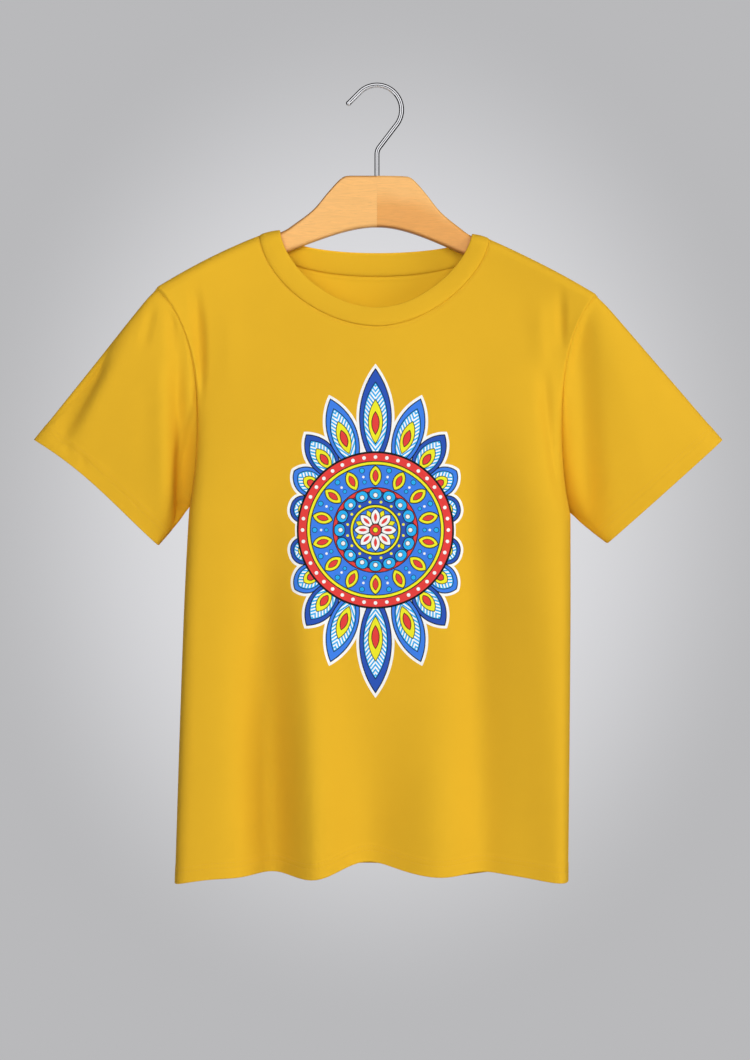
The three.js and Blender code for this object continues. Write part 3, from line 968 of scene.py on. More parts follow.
@dataclass(frozen=True)
class Panel:
    """The front or the back of the shirt: one sheet from the neck and shoulders to its turned-up hem.

    Args:
        cut: what makes it the front or the back.
        neck_columns: the columns from the middle to the neck's corner, and so on for the other counts.
        hem_from: the share of the rows above the hem's own.
        crowd: how the columns crowd at the sides.
        hole_crowd: how the rows crowd at the shoulder's tip.
        seam_turn: the share of the rows over which the seam's pull turns level under the armpit.
        neck_turn: the share of the columns over which the neck seam's pull gives way to the shoulder's.
        print_z: the height at which the flat cut is true to the front view.
    """

    form: ShirtForm
    sewing: Sewing
    cut: PanelCut
    node: str
    neck_columns: int = 34
    shoulder_columns: int = 56
    armhole_rows: int = 110
    side_rows: int = 86
    hem_rows: int = 22
    hem_from: float = 0.965
    crowd: float = 2.2
    hole_crowd: float = 0.8
    seam_turn: float = 0.08
    neck_turn: float = 0.04
    print_z: float = -470.0

    def _samples(self) -> tuple[Array, Array]:
        """Spaces the columns and the rows, closer together at the seams and the hem.

        Returns:
            Where they lie.
        """
        corner = 1.0 - (1.0 - self.form.neck_share) ** (1.0 / self.crowd)
        neck = np.linspace(0.0, corner, self.neck_columns + 1)
        shoulder = np.linspace(corner, 1.0, self.shoulder_columns + 1)[1:]
        half = 1.0 - (1.0 - np.concatenate([neck, shoulder])) ** self.crowd
        hole = self.cut.armhole_share * np.linspace(0.0, 1.0, self.armhole_rows + 1) ** self.hole_crowd
        side = np.linspace(self.cut.armhole_share, self.hem_from, self.side_rows + 1)[1:]
        hem = np.linspace(self.hem_from, 1.0, self.hem_rows + 1)[1:]
        return np.concatenate([-half[:0:-1], half]), np.concatenate([hole, side, hem])

    def _side_pull(self, side: Side, w: Array) -> Array:
        """Draws a panel's edge in.

        Args:
            side: the side of the shirt.
            w: the rows.

        Returns:
            The direction at each row.
        """
        share = self.cut.armhole_share
        turn = self.form.hole_turn(self.cut, w)
        facing = np.full_like(turn, self.cut.facing)
        hole = self.form.armhole_pull(side, turn, facing)
        below = smoothstep(w, share, share + self.seam_turn)[:, None]
        return unit(lerp(hole, np.array([-side.hand, 0.0, 0.0]), below))

    def grid(self) -> ClothGrid:
        """Lays out the panel, with its creases, its hem and its drawn-in seams.

        Returns:
            Its outer face.
        """
        sewing, neck_share = self.sewing, self.form.neck_share
        u_at, w_at = self._samples()
        u, w = np.meshgrid(u_at, w_at)
        points = self.form.panel(self.cut, u, w)
        base = ClothGrid(points, self.cut.facing)
        across, down = base.steps_across(), base.steps_down()
        to_side = np.minimum(across, across[:, -1:] - across)
        x, z = points[..., 0], points[..., 2]
        relief = sum((crease.relief(x, z) for crease in self.cut.creases), np.zeros_like(x))
        relief = relief + sewing.hem_relief(down[-1] - down, sewing.hem)
        free = (1.0 - bump(to_side, sewing.calm)) * (1.0 - bump(down, sewing.calm))
        at_neck = np.abs(u) < neck_share
        groove = at_neck * sewing.hem_swell * bump(down - sewing.topstitch, sewing.dent_width)
        lifted = base.lifted(relief * free - groove).points
        at_side = bump(to_side, sewing.reach)
        at_top = bump(down, sewing.reach) * (1.0 - at_side)
        pulls = [self._side_pull(side, w_at) for side in (RIGHT, LEFT)]
        side_pull = np.where((u > 0.0)[..., None], pulls[1][:, None], pulls[0][:, None])
        top_pull = self.form.neck_pull(points[0])[None]
        draw = np.where(w <= self.cut.armhole_share, sewing.sleeve_draw, sewing.draw)
        lifted = pulled(lifted, at_side * draw, side_pull)
        past_neck = smoothstep(np.abs(u), neck_share, neck_share + self.neck_turn)
        top_draw = lerp(sewing.neck_draw, sewing.draw, past_neck)
        lifted = pulled(lifted, at_top * top_draw, top_pull)
        return ClothGrid(lifted, self.cut.facing)

    def flat(self, grid: ClothGrid) -> Array:
        """Lays the panel on its flat cut, which is true to the front view at the print.

        Args:
            grid: its outer face.

        Returns:
            Where each point lies.
        """
        p = grid.points
        middle = p.shape[1] // 2
        across = np.diff(p, axis=1)
        extra = np.hypot(across[..., 0], across[..., 1]) - np.abs(across[..., 0])
        extra = np.pad(np.cumsum(extra, axis=1), ((0, 0), (1, 0)))
        down = np.diff(p, axis=0)
        drop = np.hypot(down[..., 1], down[..., 2]) - np.abs(down[..., 2])
        drop = np.pad(np.cumsum(drop, axis=0), ((1, 0), (0, 0)))
        level = int(np.argmin(np.abs(p[:, middle, 2] - self.print_z)))
        u = p[..., 0] + extra - extra[:, middle : middle + 1]
        v = p[..., 2] - drop + drop[level : level + 1]
        return np.stack([u, v], axis=-1)

    def build(self) -> tuple[Piece, Piece]:
        """Builds the panel and its stitches.

        Returns:
            Both pieces.
        """
        grid = self.grid()
        rows = [strip_above(grid, reach) for reach in self.sewing.stitch_rows(self.sewing.hem)]
        neck = np.abs(self._samples()[0]) < self.form.neck_share
        under_neck = strip_at(grid, np.full(neck.shape, self.sewing.topstitch))
        rows.append((under_neck[0][neck], under_neck[1][neck]))
        hemmed = grid.turned_up(self.sewing.hem, self.sewing.roll)
        panel = sheet_piece(self.node + "_cloth", hemmed, hemmed.flat_on(self.flat(grid)), self.sewing.cloth)
        stitches = self.sewing.stitches(self.node + "_stitches", rows)
        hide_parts(self.node)
        return panel, stitches


@dataclass(frozen=True)
class Sleeve:
    """A sleeve: one sheet sewn to a tube under the arm, from the armhole to its turned-up hem.

    Args:
        creases: the creases on its front.
        half_columns: the columns from its top to under the arm.
        seam_to: the share of its length that the rows by the armhole take.
        hem_from: the share of its length above the hem's rows.
        fold_calm: how far from its top and its underarm the creases die out.
        under_draw: the share of a seam's draw that the seam under the arm has.
    """

    form: ShirtForm
    sewing: Sewing
    side: Side
    node: str
    creases: tuple[Crease, ...]
    half_columns: int = 80
    seam_rows: int = 8
    middle_rows: int = 46
    hem_rows: int = 20
    seam_to: float = 0.04
    hem_from: float = 0.86
    fold_calm: float = 0.25
    under_draw: float = 0.7

    def grid(self) -> ClothGrid:
        """Lays out the sleeve, with its creases, its hem and its drawn-in seams.

        Returns:
            Its outer face.
        """
        turn_at = np.linspace(0.0, 2 * np.pi, 2 * self.half_columns + 1)
        s_at = np.concatenate(
            [
                np.linspace(0.0, self.seam_to, self.seam_rows + 1),
                np.linspace(self.seam_to, self.hem_from, self.middle_rows + 1)[1:],
                np.linspace(self.hem_from, 1.0, self.hem_rows + 1)[1:],
            ]
        )
        sewing = self.sewing
        turn, s = np.meshgrid(turn_at, s_at)
        base = ClothGrid(self.form.sleeve(self.side, turn, s), self.side.hand, ring=True)
        across, down = base.steps_across(), base.steps_down()
        x, z = base.points[..., 0], base.points[..., 2]
        front = sum((crease.relief(x, z) for crease in self.creases), np.zeros_like(x))
        relief = np.where(turn <= np.pi, front, 0.0) * smoothstep(np.abs(np.sin(turn)), 0.0, self.fold_calm)
        relief = relief + sewing.hem_relief(down[-1] - down, sewing.sleeve_hem)
        underarm = across[:, self.half_columns : self.half_columns + 1]
        at_hole = bump(down, sewing.sleeve_reach)
        at_under = bump(across - underarm, sewing.reach) * (1.0 - at_hole)
        relief = relief * (1.0 - bump(down, sewing.calm)) - self.under_draw * sewing.draw * at_under
        half = np.where(turn_at <= np.pi, turn_at, 2 * np.pi - turn_at)
        facing = np.where(turn_at <= np.pi, -1.0, 1.0)
        pull = self.form.armhole_pull(self.side, half, facing)[None]
        points = pulled(base.lifted(relief).points, sewing.sleeve_draw * at_hole, pull)
        points[:, -1] = points[:, 0]
        return ClothGrid(points, self.side.hand, ring=True)

    def build(self) -> tuple[Piece, Piece]:
        """Builds the sleeve and its stitches.

        Returns:
            Both pieces.
        """
        grid = self.grid()
        rows = [strip_above(grid, reach) for reach in self.sewing.stitch_rows(self.sewing.sleeve_hem)]
        hemmed = grid.turned_up(self.sewing.sleeve_hem, self.sewing.roll)
        flat = np.stack([grid.steps_across(), -grid.steps_down()], axis=-1)
        sleeve = sheet_piece(self.node + "_cloth", hemmed, hemmed.flat_on(flat), self.sewing.cloth)
        stitches = self.sewing.stitches(self.node + "_stitches", rows)
        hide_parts(self.node)
        return sleeve, stitches


@dataclass(frozen=True)
class NeckRib:
    """The neck rib: a band of rib knit folded double along its free edge, with both edges in the neck seam.

    Args:
        half_thick: half the thickness of the doubled band, in millimetres.
        seam_thick: the same at the seam.
        plump: how far its outer face is domed.
        dome_power: how bluntly the dome rises.
        swell_by: the share of its width by which it has its full thickness.
    """

    form: ShirtForm
    sewing: Sewing
    node: str = "neck_rib"
    half_thick: float = 1.2
    seam_thick: float = 0.35
    plump: float = 0.8
    dome_power: float = 0.8
    swell_by: float = 0.2
    quarter: int = 60
    face_rows: int = 16
    fold_rows: int = 7

    def grid(self) -> ClothGrid:
        """Lays out the band: up from the seam, over the fold and down again inside.

        Returns:
            Its outer face.
        """
        out = np.linspace(0.0, np.pi / 2, self.quarter + 1)
        parts = [
            self.form.neck_seam(FRONT, RIGHT, out[:0:-1]),
            self.form.neck_seam(FRONT, LEFT, out),
            self.form.neck_seam(BACK, LEFT, out[-2:0:-1]),
            self.form.neck_seam(BACK, RIGHT, out),
        ]
        seam, free = (np.concatenate([part[i] for part in parts]) for i in (0, 1))
        pull = self.form.neck_pull(seam)
        seam = seam + self.sewing.neck_draw * pull
        wide = np.concatenate([seam[-2:-1], seam, seam[1:2]])
        along = unit(wide[2:] - wide[:-2])
        up = free - seam
        height = np.linalg.norm(up, axis=-1, keepdims=True)
        out_way = unit(np.cross(along, up))
        rise = np.linspace(0.0, 1.0, self.face_rows)[:, None, None]
        top = height[None] - self.half_thick
        swollen = np.sin(np.pi / 2 * np.minimum(rise / self.swell_by, 1.0))
        thick = lerp(self.seam_thick, self.half_thick, swollen)
        dome = self.plump * np.sin(np.pi * rise) ** self.dome_power
        outer = seam + unit(up) * top * rise + out_way * (thick + dome)
        angle = np.linspace(np.pi / 2, -np.pi / 2, self.fold_rows + 2)[1:-1, None, None]
        centre = seam + unit(up) * top[0]
        fold = centre + self.half_thick * (np.sin(angle) * out_way + np.cos(angle) * unit(up))
        inner = (seam + unit(up) * top * rise - out_way * thick)[::-1]
        return ClothGrid(np.concatenate([outer, fold, inner]), 1, ring=True)

    def build(self) -> Piece:
        """Builds the rib.

        Returns:
            The piece.
        """
        grid = self.grid()
        flat = np.stack([grid.steps_across(), -grid.steps_down()], axis=-1)
        rib = sheet_piece(self.node + "_band", grid, flat, self.sewing.cloth)
        rib.modifiers["cloth"].material_offset = 0
        # The inner faces at the back of the band take the second material, a lighter copy of the rib:
        # painted light inside the neck.
        centre = rib.data.polygons[0].center.copy()
        centre.xy = 0.0, float(grid.points[..., 1].mean()) * MM
        for face in rib.data.polygons:
            away = face.center - centre
            inside = away.y > 0.0 and face.normal.x * away.x + face.normal.y * away.y < 0.0
            face.material_index = int(inside)
        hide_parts(self.node)
        return rib


# The hanger.


def loft(sections: Array) -> Mesh:
    """Skins closed sections with a tube and fills its ends.

    Args:
        sections: stations by corners, in millimetres.

    Returns:
        The tube.
    """
    bm = bmesh.new()
    verts = bmesh.ops.create_circle(bm, segments=sections.shape[1], radius=1.0)["verts"]
    for vert, place in zip(verts, sections[0]):
        vert.co = place * MM
    edges = list(bm.edges)
    bmesh.ops.contextual_create(bm, geom=edges)
    for section in sections[1:]:
        corner = {vert.co.to_tuple(9): i for i, vert in enumerate(verts)}
        made = bmesh.ops.extrude_edge_only(bm, edges=edges)["geom"]
        fresh = [item for item in made if isinstance(item, bmesh.types.BMVert)]
        verts = sorted(fresh, key=lambda vert: corner[vert.co.to_tuple(9)])
        ring = set(verts)
        edges = [e for e in made if isinstance(e, bmesh.types.BMEdge) and set(e.verts) <= ring]
        for vert, place in zip(verts, section):
            vert.co = place * MM
    bmesh.ops.contextual_create(bm, geom=edges)
    bmesh.ops.recalc_face_normals(bm, faces=bm.faces)
    return bm


def soften(piece: Piece, degrees: float = 35.0) -> None:
    """Keeps the edges of a smooth-shaded piece crisp where its faces meet at more than an angle."""
    piece.data.set_sharp_from_angle(angle=math.radians(degrees))


@dataclass(frozen=True)
class HangerArm:
    """One of the hanger's two arms, from the glued joint in the middle to its rounded nose, in millimetres.

    Args:
        form: the shirt's shape, which the arm carries.
        side: the side of the shirt.
        top_line: places (x, z) on its top out to the cloth.
        arch_z: the height of its underside in the middle, which falls at arch_slope after arch_round.
        end_x: the tip of its nose, which is rounded over the last of its length.
        covered: where its edges grow rounder under the cloth, from and to.
        covered_round: the share of its half thickness that they are rounded to there.
        under_cloth: how far its top lies under the cloth's outer face.
        joint_gap: from the middle plane to its glued face.
        crowd: how its sections crowd at the nose.
        head_room: round the hook's head and over it.
    """

    form: ShirtForm
    side: Side
    node: str
    top_z: float = -95.4
    top_line: tuple[tuple[float, float], ...] = (
        (28.0, -95.4), (38.0, -98.4), (51.4, -112.5), (67.3, -131.4), (87.0, -146.6), (101.0, -155.3)
    )
    arch_z: float = -149.6
    arch_slope: float = 0.46
    arch_round: float = 22.0
    end_x: float = 215.0
    nose: float = 14.0
    edge_round: float = 4.0
    covered: tuple[float, float] = (60.0, 110.0)
    covered_round: float = 0.85
    under_cloth: float = 3.4
    joint_gap: float = 0.02
    crowd: float = 1.35
    bore_depth: float = 90.0
    head_room: tuple[float, float] = (0.15, 0.5)
    stations: int = 96
    corners: int = 64
    curve_steps: int = 24
    bore_corners: int = 48
    blunt: float = 0.02

    def _top(self, x: Array) -> Array:
        """Runs a smooth curve through the top line.

        Args:
            x: stations along the arm.

        Returns:
            The height of the arm's top there.
        """
        neck_x, neck_z = self.form.shoulder_x, self.form.shoulder_z - self.under_cloth
        line = np.array([(0.0, self.top_z), *self.top_line, (neck_x, neck_z)])
        before = np.concatenate([2 * line[:1] - line[1:2], line[:-1]])
        after = np.concatenate([line[1:], 2 * line[-1:] - line[-2:-1]])
        slope = (after - before) / 2.0
        t = np.linspace(0.0, 1.0, self.curve_steps)[:, None, None]
        curve = (
            (2 * t**3 - 3 * t**2 + 1) * line[:-1]
            + (t**3 - 2 * t**2 + t) * slope[:-1]
            + (3 * t**2 - 2 * t**3) * line[1:]
            + (t**3 - t**2) * slope[1:]
        )
        curve = np.swapaxes(curve, 0, 1).reshape(-1, 2)
        near = np.minimum(np.interp(x, curve[:, 0], curve[:, 1]), self.top_z)
        return np.where(x < neck_x, near, self.form.shoulder_line(-x) - self.under_cloth)

    def sections(self) -> Array:
        """Shapes the sections: rounded at the edges, and rounder where the cloth covers them.

        Returns:
            Stations by corners.
        """
        t = np.linspace(0.0, 1.0, self.stations)
        x = lerp(self.joint_gap, self.end_x, 1.0 - (1.0 - t) ** self.crowd)[:, None]
        reach = np.maximum(x - (self.end_x - self.nose), 0.0) / self.nose
        nose = np.sqrt(np.maximum(1.0 - reach**2, self.blunt))
        high = self._top(x)
        low = self.arch_z + self.arch_round - np.hypot(self.arch_slope * x, self.arch_round)
        half_high = (high - low) / 2.0 * nose
        half_thick = self.form.wood_half_thickness(x) * nose
        covered = smoothstep(x, *self.covered)
        corner = lerp(self.edge_round, self.covered_round * half_thick, covered)
        corner = np.minimum(corner, (1.0 - self.blunt) * half_thick)
        angle = (np.arange(self.corners) + 0.5) / self.corners * 2 * np.pi
        y = np.sign(np.cos(angle)) * (half_thick - corner) + corner * np.cos(angle)
        z = np.sign(np.sin(angle)) * (half_high - corner) + corner * np.sin(angle)
        world_x = self.side.hand * x
        middle = self.form.middle_y(world_x, self.form.shoulder_line(world_x))
        return spatial(world_x, middle + y, (high + low) / 2.0 - self.form.lean(world_x) + z)

    def build(self) -> Piece:
        """Builds the arm and bores it for the hook.

        Returns:
            The piece.
        """
        arm = make_piece(self.node + "_wood", loft(self.sections()))
        hook = Hook()
        around, over = self.head_room
        for radius, depth, z in (
            (hook.wire + hook.clearance, self.bore_depth, self.top_z - self.bore_depth / 3.0),
            (hook.head + around, 2 * (hook.head_height + over), self.arch_z),
        ):
            bm = bmesh.new()
            place = Matrix.Translation((0.0, 0.0, z * MM))
            bmesh.ops.create_cone(
                bm,
                cap_ends=True,
                segments=self.bore_corners,
                radius1=radius * MM,
                radius2=radius * MM,
                depth=depth * MM,
                matrix=place,
            )
            bore = make_piece("bore", bm)
            cut = arm.modifiers.new("bore", "BOOLEAN")
            cut.object = bore
            cut.operation = "DIFFERENCE"
            cut.solver = "EXACT"
            settle(arm)
            bpy.data.objects.remove(bore)
        soften(arm)
        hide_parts(self.node)
        return arm


def settle(piece: Piece) -> None:
    """Makes a piece's modifiers part of its mesh.

    Args:
        piece: the piece.
    """
    graph = bpy.context.evaluated_depsgraph_get()
    mesh = bpy.data.meshes.new_from_object(piece.evaluated_get(graph))
    piece.modifiers.clear()
    piece.data = mesh


@dataclass(frozen=True)
class Hook:
    """The hook: one steel wire bent into a curl over a knee and a straight shank, in millimetres.

    Args:
        wire: the wire's radius.
        curl: the curl's radius, to the middle of the wire.
        curl_z: the height of its centre.
        tip_angle: where the curl ends, in degrees from +X.
        tip_run: the straight end past that.
        leave_angle: where the curl leaves for the shank.
        knee_tangent: from the knee's corner to where its bend begins.
        head: the radius of the riveted head under the wood.
        head_gap: how far over the wood's arch it begins.
        head_bevel: the width of its bevelled rims.
        tip_ball: the radius of the ball at the tip, in radii of the wire.
        clearance: round the wire in its bore.
        bend_steps: the sections round the knee and round the curl.
    """

    wire: float = 2.7
    curl: float = 26.1
    curl_z: float = -25.1
    tip_angle: float = 135.0
    tip_run: float = 16.3
    leave_angle: float = -37.4
    knee_tangent: float = 4.24
    head: float = 3.5
    head_height: float = 1.6
    head_gap: float = 0.7
    head_bevel: float = 0.4
    tip_ball: float = 1.08
    arch_z: float = -149.6
    clearance: float = 0.4
    node: str = "hook"
    around: int = 28
    ball_rings: int = 16
    head_corners: int = 40
    bend_steps: tuple[int, int] = (14, 84)

    def _run(self, bm: Mesh, ring: list, way: Vector) -> list:
        """Carries the wire's end ring straight on.

        Args:
            bm: the wire.
            ring: its end ring.
            way: how far, in x, y and z.

        Returns:
            The new ring.
        """
        edges = [item for item in ring if isinstance(item, bmesh.types.BMEdge)]
        made = bmesh.ops.extrude_edge_only(bm, edges=edges)["geom"]
        verts = [item for item in made if isinstance(item, bmesh.types.BMVert)]
        bmesh.ops.translate(bm, verts=verts, vec=way * MM)
        fresh = set(verts)
        edges = [e for e in made if isinstance(e, bmesh.types.BMEdge) and set(e.verts) <= fresh]
        return [*verts, *edges]

    def _bend(self, bm: Mesh, ring: list, centre: Vector, degrees: float, steps: int) -> list:
        """Carries the ring round in the hook's plane, clockwise as seen from the front.

        Args:
            bm: the wire.
            ring: its end ring.
            centre: of the bend.
            degrees: its angle.
            steps: its sections.

        Returns:
            The new ring.
        """
        return bmesh.ops.spin(
            bm, geom=ring, cent=centre * MM, axis=(0.0, 1.0, 0.0), angle=math.radians(degrees), steps=steps
        )["geom_last"]

    def build(self) -> Piece:
        """Builds the hook.

        Returns:
            The piece.
        """
        leave, tip = math.radians(self.leave_angle), math.radians(self.tip_angle)
        heading = Vector((-math.sin(leave), 0.0, math.cos(leave)))
        left_at = Vector((self.curl * math.cos(leave), 0.0, self.curl_z + self.curl * math.sin(leave)))
        knee = left_at - heading * (left_at.x / heading.x)
        bend_radius = self.knee_tangent / math.tan(-leave / 2)
        bottom = self.arch_z + self.head_gap
        bend_from = knee.z - self.knee_tangent
        bm = bmesh.new()
        start = Matrix.Translation((0.0, 0.0, bottom * MM))
        circle = bmesh.ops.create_circle(bm, segments=self.around, radius=self.wire * MM, matrix=start)
        ring = [*circle["verts"], *bm.edges]
        ring = self._run(bm, ring, Vector((0.0, 0.0, bend_from - bottom)))
        centre = Vector((bend_radius, 0.0, bend_from))
        ring = self._bend(bm, ring, centre, -self.leave_angle, self.bend_steps[0])
        bent_to = knee + heading * self.knee_tangent
        ring = self._run(bm, ring, left_at - bent_to)
        turned = self.tip_angle - self.leave_angle
        ring = self._bend(bm, ring, Vector((0.0, 0.0, self.curl_z)), -turned, self.bend_steps[1])
        tip_way = Vector((-math.sin(tip), 0.0, math.cos(tip)))
        self._run(bm, ring, tip_way * self.tip_run)
        tip_at = Vector((self.curl * math.cos(tip), 0.0, self.curl_z + self.curl * math.sin(tip)))
        ball = Matrix.Translation((tip_at + tip_way * self.tip_run) * MM)
        bmesh.ops.create_uvsphere(
            bm,
            u_segments=self.around,
            v_segments=self.ball_rings,
            radius=self.wire * self.tip_ball * MM,
            matrix=ball,
        )
        head = Matrix.Translation((0.0, 0.0, (bottom + self.head_height / 2) * MM))
        made = bmesh.ops.create_cone(
            bm,
            cap_ends=True,
            segments=self.head_corners,
            radius1=self.head * MM,
            radius2=self.head * MM,
            depth=self.head_height * MM,
            matrix=head,
        )["verts"]
        rims = {edge for vert in made for edge in vert.link_edges if len(edge.link_faces) == 2}
        rims = [e for e in rims if any(len(face.verts) > 4 for face in e.link_faces)]
        bmesh.ops.bevel(
            bm, geom=rims, offset=self.head_bevel * MM, segments=3, profile=0.5, affect="EDGES", material=-1
        )
        head_faces = {face for vert in made if vert.is_valid for face in vert.link_faces}
        for face in bm.faces:
            face.material_index = int(face in head_faces or face.calc_center_median().z < self.arch_z * MM)
        bmesh.ops.recalc_face_normals(bm, faces=bm.faces)
        hook = make_piece(self.node + "_wire", bm)
        soften(hook)
        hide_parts(self.node)
        return hook


# Materials.


def hex_colour(code: str) -> tuple[float, float, float, float]:
    """Reads a colour.

    Args:
        code: the sRGB value, such as "e0ad27".

    Returns:
        The linear colour.
    """
    parts = (int(code[i : i + 2], 16) / 255.0 for i in (0, 2, 4))
    linear = (c / 12.92 if c <= 0.04045 else ((c + 0.055) / 1.055) ** 2.4 for c in parts)
    return (*linear, 1.0)


def add_node(
    tree: Tree, kind: str, inputs: dict | None = None, out: int | str = 0, **settings: object
) -> Socket:
    """Adds a node with its settings, and links or sets its inputs.

    Args:
        tree: the nodes it goes among.
        kind: the node's type.
        inputs: what goes into each input, by its name or number: a socket or a value.
        out: the name or number of the output that is wanted.
        settings: the node's own settings by name.

    Returns:
        That output.
    """
    node = tree.nodes.new(f"ShaderNode{kind}")
    for name, value in settings.items():
        setattr(node, name, value)
    for name, value in (inputs or {}).items():
        if isinstance(value, Socket):
            tree.links.new(value, node.inputs[name])
        else:
            node.inputs[name].default_value = value
    return node.outputs[out]


def new_material(name: str) -> tuple[Material, bpy.types.Node]:
    """Makes a new material.

    Args:
        name: its name.

    Returns:
        The material and its shader.
    """
    material = bpy.data.materials.new(name)
    material.use_nodes = True
    return material, material.node_tree.nodes["Principled BSDF"]


@dataclass(frozen=True)
class Knit:
    """The loops of a knitted cloth, in millimetres on the flat cut.

    Args:
        wale: the width of one column of loops.
        course: the height of one row of loops.
        relief: how far the loops stand out.
        slant: how steeply a loop's legs rise to the middle of its column.
        depth: how deep the gaps between the rows are.
        shades: of the cloth between the loops, which is painted shade, and on them, and clouds those of its
            uneven dye.
    """

    wale: float
    course: float
    relief: float
    slant: float = -2.6
    depth: float = 0.22
    shades: tuple[float, float] = (0.93, 1.02)
    clouds: tuple[float, float] = (0.975, 1.025)

    def weave(self, tree: Tree, shader: bpy.types.Node, colour: Socket) -> None:
        """Knits a shader's surface: columns of loops with a fine shadow between them.

        Args:
            tree: the material's nodes.
            shader: its shader.
            colour: of the cloth.
        """
        flat = add_node(tree, "UVMap", uv_map="flat")
        place = add_node(
            tree,
            "VectorMath",
            {0: flat, 1: (math.pi / (self.wale * MM), 2 * math.pi / (self.course * MM), 0.0)},
            operation="MULTIPLY",
        )
        turn = add_node(tree, "SeparateXYZ", {0: place}).node.outputs
        column = add_node(tree, "Math", {0: turn["X"]}, operation="SINE")
        column = add_node(tree, "Math", {0: column}, operation="ABSOLUTE")
        slant = add_node(tree, "Math", {0: column, 1: self.slant, 2: turn["Y"]}, operation="MULTIPLY_ADD")
        loop = add_node(tree, "Math", {0: slant}, operation="SINE")
        legs = {0: loop, 1: self.depth, 2: 1.0 - self.depth}
        loop = add_node(tree, "Math", legs, operation="MULTIPLY_ADD")
        height = add_node(tree, "Math", {0: column, 1: loop}, operation="MULTIPLY")
        drift = add_node(tree, "TexNoise", {"Vector": flat, "Scale": 16.0, "Detail": 3.0})
        shade, cloud = (
            add_node(tree, "MapRange", {"Value": value, "To Min": low, "To Max": high})
            for value, (low, high) in ((height, self.shades), (drift, self.clouds))
        )
        tone = add_node(tree, "Math", {0: shade, 1: cloud}, operation="MULTIPLY")
        toned = add_node(tree, "VectorMath", {0: colour, "Scale": tone}, operation="SCALE")
        relief = add_node(tree, "Bump", {"Height": height, "Strength": 0.6, "Distance": self.relief * MM})
        tree.links.new(toned, shader.inputs["Base Color"])
        tree.links.new(relief, shader.inputs["Normal"])


@dataclass(frozen=True)
class Cotton:
    """Dyed cotton knit: matt and soft, with no shine of its own.

    Args:
        colour: of the dyed cloth.
        knit: its loops.
    """

    name: str
    knit: Knit
    colour: str = "eab62a"
    rough: float = 0.95
    ink_rough: float = 0.62
    shine: float = 0.12

    def make(self, medallion: "Medallion | None" = None) -> Material:
        """Makes the material.

        Args:
            medallion: the print on it, where it has one.

        Returns:
            The material.
        """
        material, shader = new_material(self.name)
        tree = material.node_tree
        colour = add_node(tree, "RGB")
        colour.default_value = hex_colour(self.colour)
        if medallion:
            colour, ink = medallion.paint(tree, colour)
            soft = add_node(tree, "MapRange", {"Value": ink, "To Min": self.rough, "To Max": self.ink_rough})
            tree.links.new(soft, shader.inputs["Roughness"])
        shader.inputs["Roughness"].default_value = self.rough
        shader.inputs["Specular IOR Level"].default_value = self.shine
        self.knit.weave(tree, shader, colour)
        return material


class Shape(Enum):
    """The shapes that the printed medallion is made of."""

    RING = "a ring round the middle"
    LEAF = "a pointed leaf that is mirrored left and right, and up and down"
    PETALS = "pointed petals or dots all round"


RING, LEAF, PETALS = Shape


@dataclass(frozen=True)
class Motif:
    """One flat area of ink, in millimetres.

    Args:
        shape: what it is.
        colour: of its ink.
        radius: from the medallion's middle to its own.
        length: half its length, away from the middle.
        width: half its width. A petal as long as it is wide is a dot.
        count: how many go round.
        turn: a leaf's tilt from upright in degrees, or how far petals are turned, as a share of a step.
        outline: the width of the black line round it.
        barbs: the pitch of its slanted stripes, if it has any.
    """

    shape: Shape
    colour: str
    radius: float
    length: float
    width: float = 0.0
    count: int = 1
    turn: float = 0.0
    outline: float = 1.0
    barbs: float = 0.0


COBALT, NAVY, CYAN = "3e82eb", "2b55b8", "29b2f5"
YELLOW, RED, WHITE, BLACK = "f5ee28", "e8403c", "fbfbf8", "17181c"
LEAF_FOOT = 66.0
LINE, FINE_LINE = 1.1, 0.8


def leaf(
    turn: float, tip: float, width: float, colour: str, share: float = 1.0, barbs: float = 0.0
) -> Motif:
    """Draws a leaf of the medallion's rim by its tip, or a smaller leaf inside it.

    Args:
        turn: its tilt from upright, in degrees.
        tip: how far its tip is from the middle.
        width: half its width.
        colour: of its ink.
        share: its size as a share of the outer leaf's.
        barbs: the pitch of its stripes.

    Returns:
        The leaf.
    """
    half = (tip - LEAF_FOOT) / 2.0
    return Motif(
        LEAF,
        colour,
        radius=LEAF_FOOT + half * lerp(0.86, 1.0, share),
        length=half * share,
        width=width * share,
        turn=turn,
        outline=LINE if share == 1.0 else FINE_LINE,
        barbs=barbs,
    )


